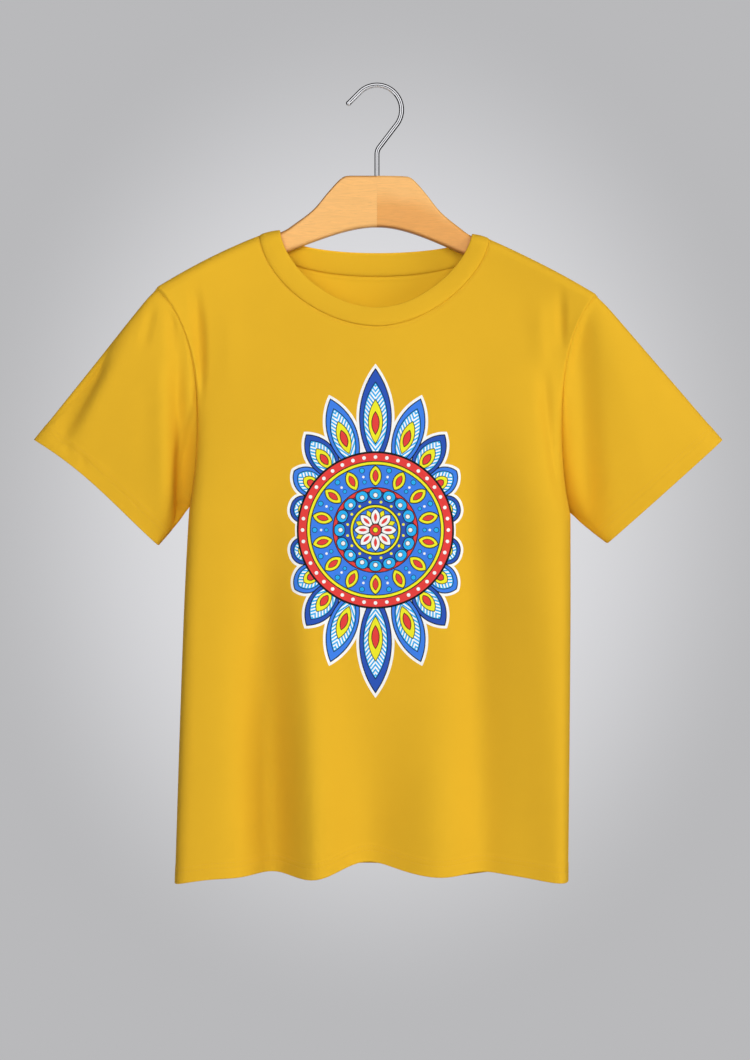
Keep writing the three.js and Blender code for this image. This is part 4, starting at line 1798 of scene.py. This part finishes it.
@dataclass(frozen=True)
class Medallion:
    """The print: a long lotus medallion in plain folk colours, with a white edge, centred on the chest.

    Args:
        centre: its middle on the flat cut, in millimetres.
        body: the radius of its round part.
        leaves: the tilt, tip and half width of each leaf in a quarter of its rim, with its colour.
        edge: the width of the white edge.
        stripes: the ink of every other stripe in a striped leaf.
    """

    centre: tuple[float, float] = (-1.6, -470.6)
    body: float = 80.0
    leaves: tuple[tuple[float, float, float, str], ...] = (
        (74.0, 91.0, 13.5, NAVY),
        (54.0, 104.0, 14.0, COBALT),
        (36.0, 122.0, 14.0, NAVY),
        (19.0, 144.0, 14.5, COBALT),
        (0.0, 168.5, 16.0, NAVY),
    )
    edge: float = 2.8
    stripes: str = WHITE
    barb_slant: float = -1.3
    barb_inset: float = 0.7
    rings: tuple[Motif, ...] = (
        Motif(RING, RED, 76.0, 4.0),
        Motif(PETALS, WHITE, 76.0, 1.9, 1.9, count=40, outline=0.0),
        Motif(RING, YELLOW, 69.6, 1.4),
        Motif(RING, COBALT, 56.0, 11.4),
        Motif(PETALS, YELLOW, 56.5, 10.0, 5.6, count=14),
        Motif(PETALS, RED, 56.5, 5.8, 2.6, count=14, outline=0.6),
        Motif(PETALS, CYAN, 63.4, 2.3, 2.3, count=14, turn=0.5, outline=0.6),
        Motif(PETALS, WHITE, 56.6, 1.3, 1.3, count=14, turn=0.5, outline=0.0),
        Motif(PETALS, CYAN, 51.2, 1.7, 1.7, count=14, turn=0.5, outline=0.5),
        Motif(RING, RED, 42.0, 1.8),
        Motif(RING, NAVY, 33.0, 6.4),
        Motif(PETALS, CYAN, 37.4, 5.0, 6.2, count=16),
        Motif(PETALS, WHITE, 36.4, 2.2, 2.2, count=16, outline=0.6),
        Motif(PETALS, YELLOW, 29.6, 1.4, 1.4, count=16, turn=0.5, outline=0.0),
        Motif(RING, YELLOW, 24.6, 1.2),
        Motif(RING, COBALT, 0.0, 22.8),
        Motif(PETALS, YELLOW, 15.6, 6.2, 2.7, count=8, turn=0.5, outline=0.7),
        Motif(PETALS, WHITE, 13.4, 8.2, 4.4, count=8),
        Motif(PETALS, RED, 13.2, 4.6, 1.6, count=8, outline=0.0),
        Motif(RING, RED, 0.0, 5.8),
        Motif(RING, YELLOW, 0.0, 2.4, outline=0.6),
    )

    def _rim(self) -> list[Motif]:
        """Returns the medallion's outer shapes."""
        leaves = [leaf(turn, tip, width, colour) for turn, tip, width, colour in self.leaves]
        return [*leaves, Motif(RING, BLACK, 0.0, self.body)]

    def _inner_leaves(self) -> list[Motif]:
        """Draws the striped leaves inside the outer ones, with their coloured hearts.

        Returns:
            The leaves.
        """
        return [
            leaf(turn, tip, width, colour, share, barbs)
            for turn, tip, width, _ in self.leaves
            for colour, share, barbs in ((CYAN, 0.76, 5.2), (YELLOW, 0.44, 0.0), (RED, 0.22, 0.0))
        ]

    def _pointed(self, tree: Tree, along: Socket, across: Socket, motif: Motif) -> Socket:
        """Draws a pointed shape of two arcs.

        Args:
            tree: the material's nodes.
            along: the place along it.
            across: the place across it.
            motif: the shape.

        Returns:
            The distance from it, below 0 inside.
        """
        arc = (motif.length**2 + motif.width**2) / (2.0 * motif.width)
        side = add_node(tree, "Math", {0: across}, operation="ABSOLUTE")
        side = add_node(tree, "Math", {0: side, 1: arc - motif.width}, operation="ADD")
        spot = add_node(tree, "CombineXYZ", {"X": along, "Y": side})
        away = add_node(tree, "VectorMath", {0: spot}, operation="LENGTH", out="Value")
        return add_node(tree, "Math", {0: away, 1: arc}, operation="SUBTRACT")

    def _turned(self, tree: Tree, spot: Socket, motif: Motif) -> tuple[Socket, Socket]:
        """Turns a quarter's places to a leaf.

        Args:
            tree: the material's nodes.
            spot: the place in the quarter.
            motif: the leaf.

        Returns:
            The places along it and across it.
        """
        turn = math.radians(motif.turn)
        sides = []
        for way in ((math.sin(turn), math.cos(turn), 0.0), (math.cos(turn), -math.sin(turn), 0.0)):
            place = {0: spot, 1: way}
            dot = add_node(tree, "VectorMath", place, operation="DOT_PRODUCT", out="Value")
            sides.append(dot)
        along = add_node(tree, "Math", {0: sides[0], 1: motif.radius}, operation="SUBTRACT")
        return along, sides[1]

    def _folded(self, tree: Tree, angle: Socket, away: Socket, motif: Motif) -> tuple[Socket, Socket]:
        """Folds the round of petals to one.

        Args:
            tree: the material's nodes.
            angle: round the middle.
            away: the distance from it.
            motif: the petals.

        Returns:
            The places along the nearest and across it.
        """
        step = 2.0 * math.pi / motif.count
        start = motif.turn * step
        near = add_node(tree, "Math", {0: angle, 1: start}, operation="SUBTRACT")
        near = add_node(tree, "Math", {0: near, 1: step / 2, 2: -step / 2}, operation="WRAP")
        parts = []
        for part in ("COSINE", "SINE"):
            turned = add_node(tree, "Math", {0: near}, operation=part)
            made = add_node(tree, "Math", {0: turned, 1: away}, operation="MULTIPLY")
            parts.append(made)
        along = add_node(tree, "Math", {0: parts[0], 1: motif.radius}, operation="SUBTRACT")
        return along, parts[1]

    def paint(self, tree: Tree, cloth: Socket) -> tuple[Socket, Socket]:
        """Adds the print to a cloth's colour.

        Args:
            tree: the material's nodes.
            cloth: the colour.

        Returns:
            The colour, and how much ink there is.
        """
        flat = add_node(tree, "UVMap", uv_map="flat")
        middle = tuple(-v for v in self.centre)
        local = add_node(
            tree,
            "VectorMath",
            {0: flat, 1: (1.0 / MM, 1.0 / MM, 0.0), 2: (*middle, 0.0)},
            operation="MULTIPLY_ADD",
        )
        quarter = add_node(tree, "VectorMath", {0: local}, operation="ABSOLUTE")
        away = add_node(tree, "VectorMath", {0: local}, operation="LENGTH", out="Value")
        parts = add_node(tree, "SeparateXYZ", {0: local}).node.outputs
        angle = add_node(tree, "Math", {0: parts["X"], 1: parts["Y"]}, operation="ARCTAN2")

        def distance(motif: Motif) -> tuple[Socket, Socket | None]:
            """Draws one motif.

            Args:
                motif: the area of ink.

            Returns:
                The distance from it, below 0 inside, and where its stripes run.
            """
            if motif.shape is RING:
                off = add_node(tree, "Math", {0: away, 1: motif.radius}, operation="SUBTRACT")
                off = add_node(tree, "Math", {0: off}, operation="ABSOLUTE")
                off = add_node(tree, "Math", {0: off, 1: motif.length}, operation="SUBTRACT")
                return off, None
            if motif.shape is LEAF:
                along, across = self._turned(tree, quarter, motif)
            else:
                along, across = self._folded(tree, angle, away, motif)
            off = self._pointed(tree, along, across, motif)
            if not motif.barbs:
                return off, None
            side = add_node(tree, "Math", {0: across}, operation="ABSOLUTE")
            slant = add_node(tree, "Math", {0: side, 1: self.barb_slant, 2: along}, operation="MULTIPLY_ADD")
            band = add_node(tree, "Math", {0: slant, 1: 1.0 / motif.barbs}, operation="MULTIPLY")
            return off, add_node(tree, "Math", {0: band}, operation="FRACT")

        def ink_on(colour: Socket, mask: Socket, ink: str) -> Socket:
            """Returns the colour with an ink on it where the mask is 1."""
            layers = {"Factor": mask, 6: colour, 7: hex_colour(ink)}
            return add_node(tree, "Mix", layers, data_type="RGBA", out=2)

        def within(off: Socket, reach: float) -> Socket:
            """Returns 1 where a distance is less than a reach, and 0 elsewhere."""
            return add_node(tree, "Math", {0: off, 1: reach}, operation="LESS_THAN")

        colour = cloth
        rim = [(motif, distance(motif)[0]) for motif in self._rim()]
        whole = rim[0][1]
        for _, off in rim[1:]:
            whole = add_node(tree, "Math", {0: whole, 1: off}, operation="MINIMUM")
        printed = within(whole, LINE + self.edge)
        colour = ink_on(colour, printed, WHITE)
        for motif, off in rim:
            colour = ink_on(colour, within(off, LINE), BLACK)
            colour = ink_on(colour, within(off, 0.0), motif.colour)
        inner = self._inner_leaves()
        body = Motif(RING, BLACK, 0.0, self.body + LINE)
        for motif in (*inner, body, *self.rings):
            off, band = distance(motif)
            if motif.outline:
                colour = ink_on(colour, within(off, motif.outline), BLACK)
            colour = ink_on(colour, within(off, 0.0), motif.colour)
            if band:
                stripe = within(band, 0.5)
                inside = within(off, -self.barb_inset)
                both = add_node(tree, "Math", {0: stripe, 1: inside}, operation="MULTIPLY")
                colour = ink_on(colour, both, self.stripes)
        return colour, printed


@dataclass(frozen=True)
class Beech:
    """Beech under a clear satin varnish: pale, with fine grain along the arm and short dark flecks, and
    painted shade on the rounded edges that face away from the light.

    Args:
        hand: -1 for the arm on the wearer's right and 1 for the left.
        deep: the colour of the deeper, redder wood, which the left arm has below its upper edge.
        pale: the colour of the pale wood.
        edge: the colour of the machined edge, painted only where the rounded edges face away from the light,
            as painted shade: the upper edges of the wearer's right arm and the lower edges of the left.
        slope: how steeply the arm and its grain fall, in degrees.
        heart_bend: how the deeper wood's border falls outwards, and heart_waves how it wanders.
        heart: the heights where the deep wood and the pale wood are whole.
    """

    name: str
    hand: int
    pale: str = "fabd6e"
    deep: str = "eca654"
    edge: str = "b87434"
    slope: float = 19.0
    heart_bend: float = 3.9
    heart_waves: float = 0.022
    heart: tuple[float, float] = (-0.117, -0.101)

    def make(self) -> Material:
        """Makes the material.

        Returns:
            The material.
        """
        material, shader = new_material(self.name)
        tree = material.node_tree
        place = add_node(tree, "TexCoord", out="Object")
        tilt = (0.0, -self.hand * math.radians(self.slope), 0.0)
        grain = add_node(tree, "Mapping", {"Vector": place, "Rotation": tilt, "Scale": (26.0, 120.0, 300.0)})
        streaks = add_node(
            tree,
            "TexNoise",
            {"Vector": grain, "Scale": 1.0, "Detail": 5.0, "Roughness": 0.66, "Distortion": 2.2},
        )
        fine = add_node(
            tree, "Mapping", {"Vector": place, "Rotation": tilt, "Scale": (110.0, 400.0, 1300.0)}
        )
        flecks = add_node(tree, "TexNoise", {"Vector": fine, "Scale": 1.0, "Detail": 1.0})
        broad = add_node(tree, "TexNoise", {"Vector": place, "Scale": 26.0, "Detail": 2.0})
        parts = add_node(tree, "SeparateXYZ", {0: place}).node.outputs
        out = add_node(tree, "Math", {0: parts["X"], 1: 2.0}, operation="POWER")
        border = {0: out, 1: self.heart_bend, 2: parts["Z"]}
        height = add_node(tree, "Math", border, operation="MULTIPLY_ADD")
        height = add_node(tree, "Math", {0: broad, 1: self.heart_waves, 2: height}, operation="MULTIPLY_ADD")
        low, high = self.heart
        span = {"Value": height, "From Min": low, "From Max": high, "To Min": 1.0, "To Max": 0.0}
        deep_share = add_node(tree, "MapRange", span)
        deep_share = add_node(tree, "Math", {0: deep_share, 1: max(self.hand, 0)}, operation="MULTIPLY")
        wood = add_node(
            tree,
            "Mix",
            {"Factor": deep_share, 6: hex_colour(self.pale), 7: hex_colour(self.deep)},
            data_type="RGBA",
            out=2,
        )
        span = {"Value": streaks, "From Min": 0.3, "From Max": 0.7, "To Min": 0.89, "To Max": 1.05}
        tone = add_node(tree, "MapRange", span)
        span = {"Value": flecks, "From Min": 0.30, "From Max": 0.38, "To Min": 0.92, "To Max": 1.0}
        fleck = add_node(tree, "MapRange", span)
        tone = add_node(tree, "Math", {0: tone, 1: fleck}, operation="MULTIPLY")
        grained = add_node(tree, "VectorMath", {0: wood, "Scale": tone}, operation="SCALE")
        # Painted shade: the upper rounded edges of the wearer's right arm and the lower ones of the left arm
        # are mixed towards the dark edge colour.
        normal = add_node(tree, "NewGeometry", out="Normal")
        normal = add_node(tree, "SeparateXYZ", {0: normal}).node.outputs
        facing = add_node(tree, "Math", {0: normal["Y"]}, operation="ABSOLUTE")
        shaded_side = add_node(tree, "Math", {0: normal["Z"], 1: -float(self.hand)}, operation="MULTIPLY")
        shaded_side = add_node(tree, "MapRange", {"Value": shaded_side, "From Min": 0.05, "From Max": 0.3})
        span = {"Value": facing, "From Min": 0.6, "From Max": 0.98, "To Min": 0.8, "To Max": 0.0}
        rounded = add_node(tree, "MapRange", span)
        rounded = add_node(tree, "Math", {0: rounded, 1: shaded_side}, operation="MULTIPLY")
        wood_with_shaded_edges = add_node(
            tree, "Mix", {"Factor": rounded, 6: grained, 7: hex_colour(self.edge)}, data_type="RGBA", out=2
        )
        relief = add_node(tree, "Bump", {"Height": streaks, "Strength": 0.25, "Distance": 0.2 * MM})
        tree.links.new(wood_with_shaded_edges, shader.inputs["Base Color"])
        tree.links.new(relief, shader.inputs["Normal"])
        shader.inputs["Roughness"].default_value = 0.5
        shader.inputs["Coat Weight"].default_value = 0.35
        shader.inputs["Coat Roughness"].default_value = 0.25
        return material


@dataclass(frozen=True)
class Chrome:
    """The hook's metal, bright chrome plate or the oiled steel of its rivet, with fine rubbing marks.

    Args:
        colour: of its reflections.
        haze: how rough it is, least and most.
    """

    name: str = "chrome_plate"
    colour: str = "e4e4e6"
    haze: tuple[float, float] = (0.03, 0.06)

    def make(self) -> Material:
        """Makes the material.

        Returns:
            The material.
        """
        material, shader = new_material(self.name)
        tree = material.node_tree
        place = add_node(tree, "TexCoord", out="Object")
        rubbed = add_node(tree, "TexNoise", {"Vector": place, "Scale": 90.0, "Detail": 2.0})
        bright, dull = self.haze
        span = {"Value": rubbed, "From Min": 0.35, "From Max": 0.75, "To Min": bright, "To Max": dull}
        haze = add_node(tree, "MapRange", span)
        tree.links.new(haze, shader.inputs["Roughness"])
        shader.inputs["Base Color"].default_value = hex_colour(self.colour)
        shader.inputs["Metallic"].default_value = 1.0
        return material


@dataclass(frozen=True)
class Thread:
    """Sewing thread, a touch smoother than the cloth, with a fine twist."""

    name: str = "thread_mustard"
    colour: str = "e8b22a"

    def make(self) -> Material:
        """Makes the material.

        Returns:
            The material.
        """
        material, shader = new_material(self.name)
        tree = material.node_tree
        place = add_node(tree, "TexCoord", out="Object")
        strands = add_node(tree, "TexNoise", {"Vector": place, "Scale": 2600.0, "Detail": 1.0})
        tone = add_node(tree, "MapRange", {"Value": strands, "To Min": 0.86, "To Max": 1.06})
        colour = add_node(
            tree, "VectorMath", {0: hex_colour(self.colour)[:3], "Scale": tone}, operation="SCALE"
        )
        tree.links.new(colour, shader.inputs["Base Color"])
        shader.inputs["Roughness"].default_value = 0.6
        return material


# The studio.


@dataclass(frozen=True)
class Lamp:
    """A soft square lamp that is aimed at the shirt, in metres and watts."""

    name: str
    place: tuple[float, float, float]
    size: float
    power: float
    aim: tuple[float, float, float] = (0.0, 0.0, -0.45)


@dataclass(frozen=True)
class Studio:
    """The picture's camera, lamps, backdrop, floor and mirrored bowl, in metres.

    The camera looks straight back, as the photo does.

    Args:
        bright_ring: where the bowl is bright, in degrees from straight ahead.
        bowl_end: where it ends, behind.
        pool_z: how high the backdrop's pool of light lies, as seen from the middle.
        pool_tall: its height by its width.
        pool: where it begins to fade, and where it is gone.
        beyond: where the backdrop turns to the room's grey.
    """

    eye: tuple[float, float, float] = (-0.0021, -2.9, -0.4706)
    lens: float = 92.9
    floor_z: float = -2.0
    back_light: str = "dddde0"
    back_dark: str = "b9b9bb"
    room: str = "b0b0b2"
    pool_z: float = 0.009
    pool_tall: float = 1.24
    pool: tuple[float, float] = (0.055, 0.155)
    beyond: tuple[float, float] = (0.22, 0.8)
    floor: str = "c4c4c6"
    card: str = "101012"
    card_glow: str = "e2e2e4"
    bowl_z: float = -0.05
    bowl_radius: float = 3.8
    bowl_faces: tuple[int, int] = (48, 60)
    glow: float = 1.7
    bright_ring: tuple[float, float] = (21.0, 60.0)
    bowl_end: float = 157.0
    lamps: tuple[Lamp, ...] = (
        Lamp("key", (4.5, -2.2, 1.5), 1.8, 130.0),
        Lamp("front", (1.8, -4.8, 1.2), 1.8, 92.0),
        Lamp("fill", (-1.6, -4.6, 0.4), 2.4, 106.0),
        Lamp("back", (-0.8, 3.6, 0.9), 2.4, 150.0),
    )

    def build(self) -> None:
        """Builds the studio round the object."""
        scene = bpy.context.scene
        scene.view_settings.view_transform = "Standard"
        camera = bpy.data.objects.new("camera", bpy.data.cameras.new("camera"))
        camera.location = self.eye
        camera.rotation_euler = (math.pi / 2, 0.0, 0.0)
        camera.data.lens = self.lens
        scene.collection.objects.link(camera)
        scene.camera = camera
        for lamp in self.lamps:
            self._hang(lamp)
        self._lay_floor()
        self._stand_bowl()
        self._paint_world()

    def _hang(self, lamp: Lamp) -> None:
        """Hangs one lamp.

        Args:
            lamp: its sizes and place.
        """
        light = bpy.data.lights.new(lamp.name, "AREA")
        light.energy = lamp.power
        light.size = lamp.size
        holder = bpy.data.objects.new(lamp.name, light)
        holder.location = lamp.place
        look = Vector(lamp.aim) - Vector(lamp.place)
        holder.rotation_euler = look.to_track_quat("-Z", "Y").to_euler()
        holder.visible_glossy = False
        bpy.context.scene.collection.objects.link(holder)

    def _lay_floor(self) -> None:
        """Lays a plain pale floor, well under the shirt."""
        bm = bmesh.new()
        place = Matrix.Translation((0.0, 0.0, self.floor_z))
        bmesh.ops.create_grid(bm, x_segments=1, y_segments=1, size=3.0, matrix=place)
        floor = make_piece("studio_floor", bm, smooth=False)
        material, shader = new_material("matt_paper")
        shader.inputs["Base Color"].default_value = hex_colour(self.floor)
        shader.inputs["Roughness"].default_value = 0.9
        floor.data.materials.append(material)

    def _stand_bowl(self) -> None:
        """Stands a dark bowl with a bright ring round the studio, for the chrome to mirror."""
        bm = bmesh.new()
        turn = Matrix.Translation((0.0, 0.0, self.bowl_z)) @ Matrix.Rotation(math.pi / 2, 4, "X")
        around, over = self.bowl_faces
        radius = self.bowl_radius
        bmesh.ops.create_uvsphere(bm, u_segments=around, v_segments=over, radius=radius, matrix=turn)
        near, far = self.bright_ring
        behind = []
        for face in bm.faces:
            ahead = -face.calc_center_median().y / radius
            angle = math.degrees(math.acos(max(-1.0, min(1.0, ahead))))
            face.material_index = 1 if near < angle < far else 0
            if angle > self.bowl_end:
                behind.append(face)
        bmesh.ops.delete(bm, geom=behind, context="FACES")
        bowl = make_piece("studio_bowl", bm)
        for name, glow in (("dark_card", 0.0), ("bright_card", self.glow)):
            material, shader = new_material(name)
            shader.inputs["Base Color"].default_value = hex_colour(self.card)
            shader.inputs["Roughness"].default_value = 1.0
            shader.inputs["Emission Color"].default_value = hex_colour(self.card_glow)
            shader.inputs["Emission Strength"].default_value = glow
            bowl.data.materials.append(material)
        bowl.visible_camera = False
        bowl.visible_diffuse = False
        bowl.visible_shadow = False

    def _paint_world(self) -> None:
        """Paints the backdrop: pale grey, with a soft pool of light behind the shirt."""
        world = bpy.data.worlds.new("backdrop")
        world.use_nodes = True
        world.cycles_visibility.diffuse = False
        bpy.context.scene.world = world
        tree = world.node_tree
        way = add_node(tree, "TexCoord")
        parts = add_node(tree, "SeparateXYZ", {0: way}).node.outputs
        ahead = add_node(tree, "Math", {0: parts["Y"], 1: 0.05}, operation="MAXIMUM")
        right = add_node(tree, "Math", {0: parts["X"], 1: ahead}, operation="DIVIDE")
        rise = add_node(tree, "Math", {0: parts["Z"], 1: ahead}, operation="DIVIDE")
        rise = add_node(tree, "Math", {0: rise, 1: self.pool_z}, operation="SUBTRACT")
        rise = add_node(tree, "Math", {0: rise, 1: self.pool_tall}, operation="DIVIDE")
        flat = add_node(tree, "CombineXYZ", {0: right, 1: rise})
        away = add_node(tree, "VectorMath", {0: flat}, operation="LENGTH", out="Value")
        span = {"Value": away, "From Min": self.pool[0], "From Max": self.pool[1]}
        shade = add_node(tree, "MapRange", span, interpolation_type="SMOOTHSTEP")
        colour = add_node(
            tree,
            "Mix",
            {"Factor": shade, 6: hex_colour(self.back_light), 7: hex_colour(self.back_dark)},
            data_type="RGBA",
            out=2,
        )
        span = {"Value": away, "From Min": self.beyond[0], "From Max": self.beyond[1]}
        beyond = add_node(tree, "MapRange", span, interpolation_type="SMOOTHSTEP")
        whole = add_node(
            tree, "Mix", {"Factor": beyond, 6: colour, 7: hex_colour(self.room)}, data_type="RGBA", out=2
        )
        tree.links.new(whole, tree.nodes["Background"].inputs["Color"])


def dress(piece: Piece, body: str, slot: str, *materials: Material) -> None:
    """Gives a piece its materials and lets it ride on a body.

    Args:
        piece: the piece.
        body: the body that it rides on.
        slot: not used.
        materials: its materials.
    """
    for material in materials:
        piece.data.materials.append(material)
    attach(piece, body)
    log.info("%s: %d faces, on %s", piece.name, len(piece.data.polygons), body)


def main() -> None:
    """Builds the studio, the hanger and the shirt, in that order."""
    logging.basicConfig(level=logging.INFO, format="%(name)s: %(message)s")
    Studio().build()
    form, sewing = ShirtForm(), Sewing()

    rivet = Chrome("oiled_steel", "6e6258", (0.38, 0.5))
    dress(Hook().build(), "hook", "hook_steel", Chrome().make(), rivet.make())
    for side, name in ((RIGHT, "right"), (LEFT, "left")):
        arm = HangerArm(form, side, f"hanger_{name}_arm").build()
        dress(arm, "hanger", "hanger_wood", Beech(f"varnished_beech_{name}", side.hand).make())

    jersey_knit = Knit(wale=0.9, course=0.7, relief=0.12)
    jersey = Cotton("jersey_mustard", jersey_knit).make()
    printed = Cotton("jersey_printed", jersey_knit).make(Medallion())
    # The inside faces get a lighter copy of the jersey: painted light, standing in for the light that
    # reaches the inside of the shirt through the neck.
    reverse = Cotton("jersey_painted_light", jersey_knit, "fbc42d").make()
    ribbing = Knit(wale=1.7, course=0.8, relief=0.2)
    rib_knit = Cotton("rib_knit_mustard", ribbing).make()
    # The same painted light, as a lighter copy of the rib, for the inner ply at the back of the neck.
    rib_painted_light = Cotton("rib_painted_light", ribbing, "fbc42d").make()
    thread = Thread().make()
    for cut, node, face, width in ((FRONT, "front_panel", printed, 0.52), (BACK, "back_panel", jersey, 0.5)):
        panel, stitches = Panel(form, sewing, cut, node).build()
        dress(panel, "hanger", "jersey", face, reverse)
        dress(stitches, "hanger", "jersey", thread)
    for side, node, creases in ((RIGHT, "right_sleeve", RIGHT_SLEEVE), (LEFT, "left_sleeve", LEFT_SLEEVE)):
        sleeve, stitches = Sleeve(form, sewing, side, node, creases).build()
        dress(sleeve, "hanger", "jersey", jersey, reverse)
        dress(stitches, "hanger", "jersey", thread)
    band = NeckRib(form, sewing).build()
    dress(band, "hanger", "rib_knit", rib_knit, rib_painted_light)


if __name__ == "__main__":
    main()
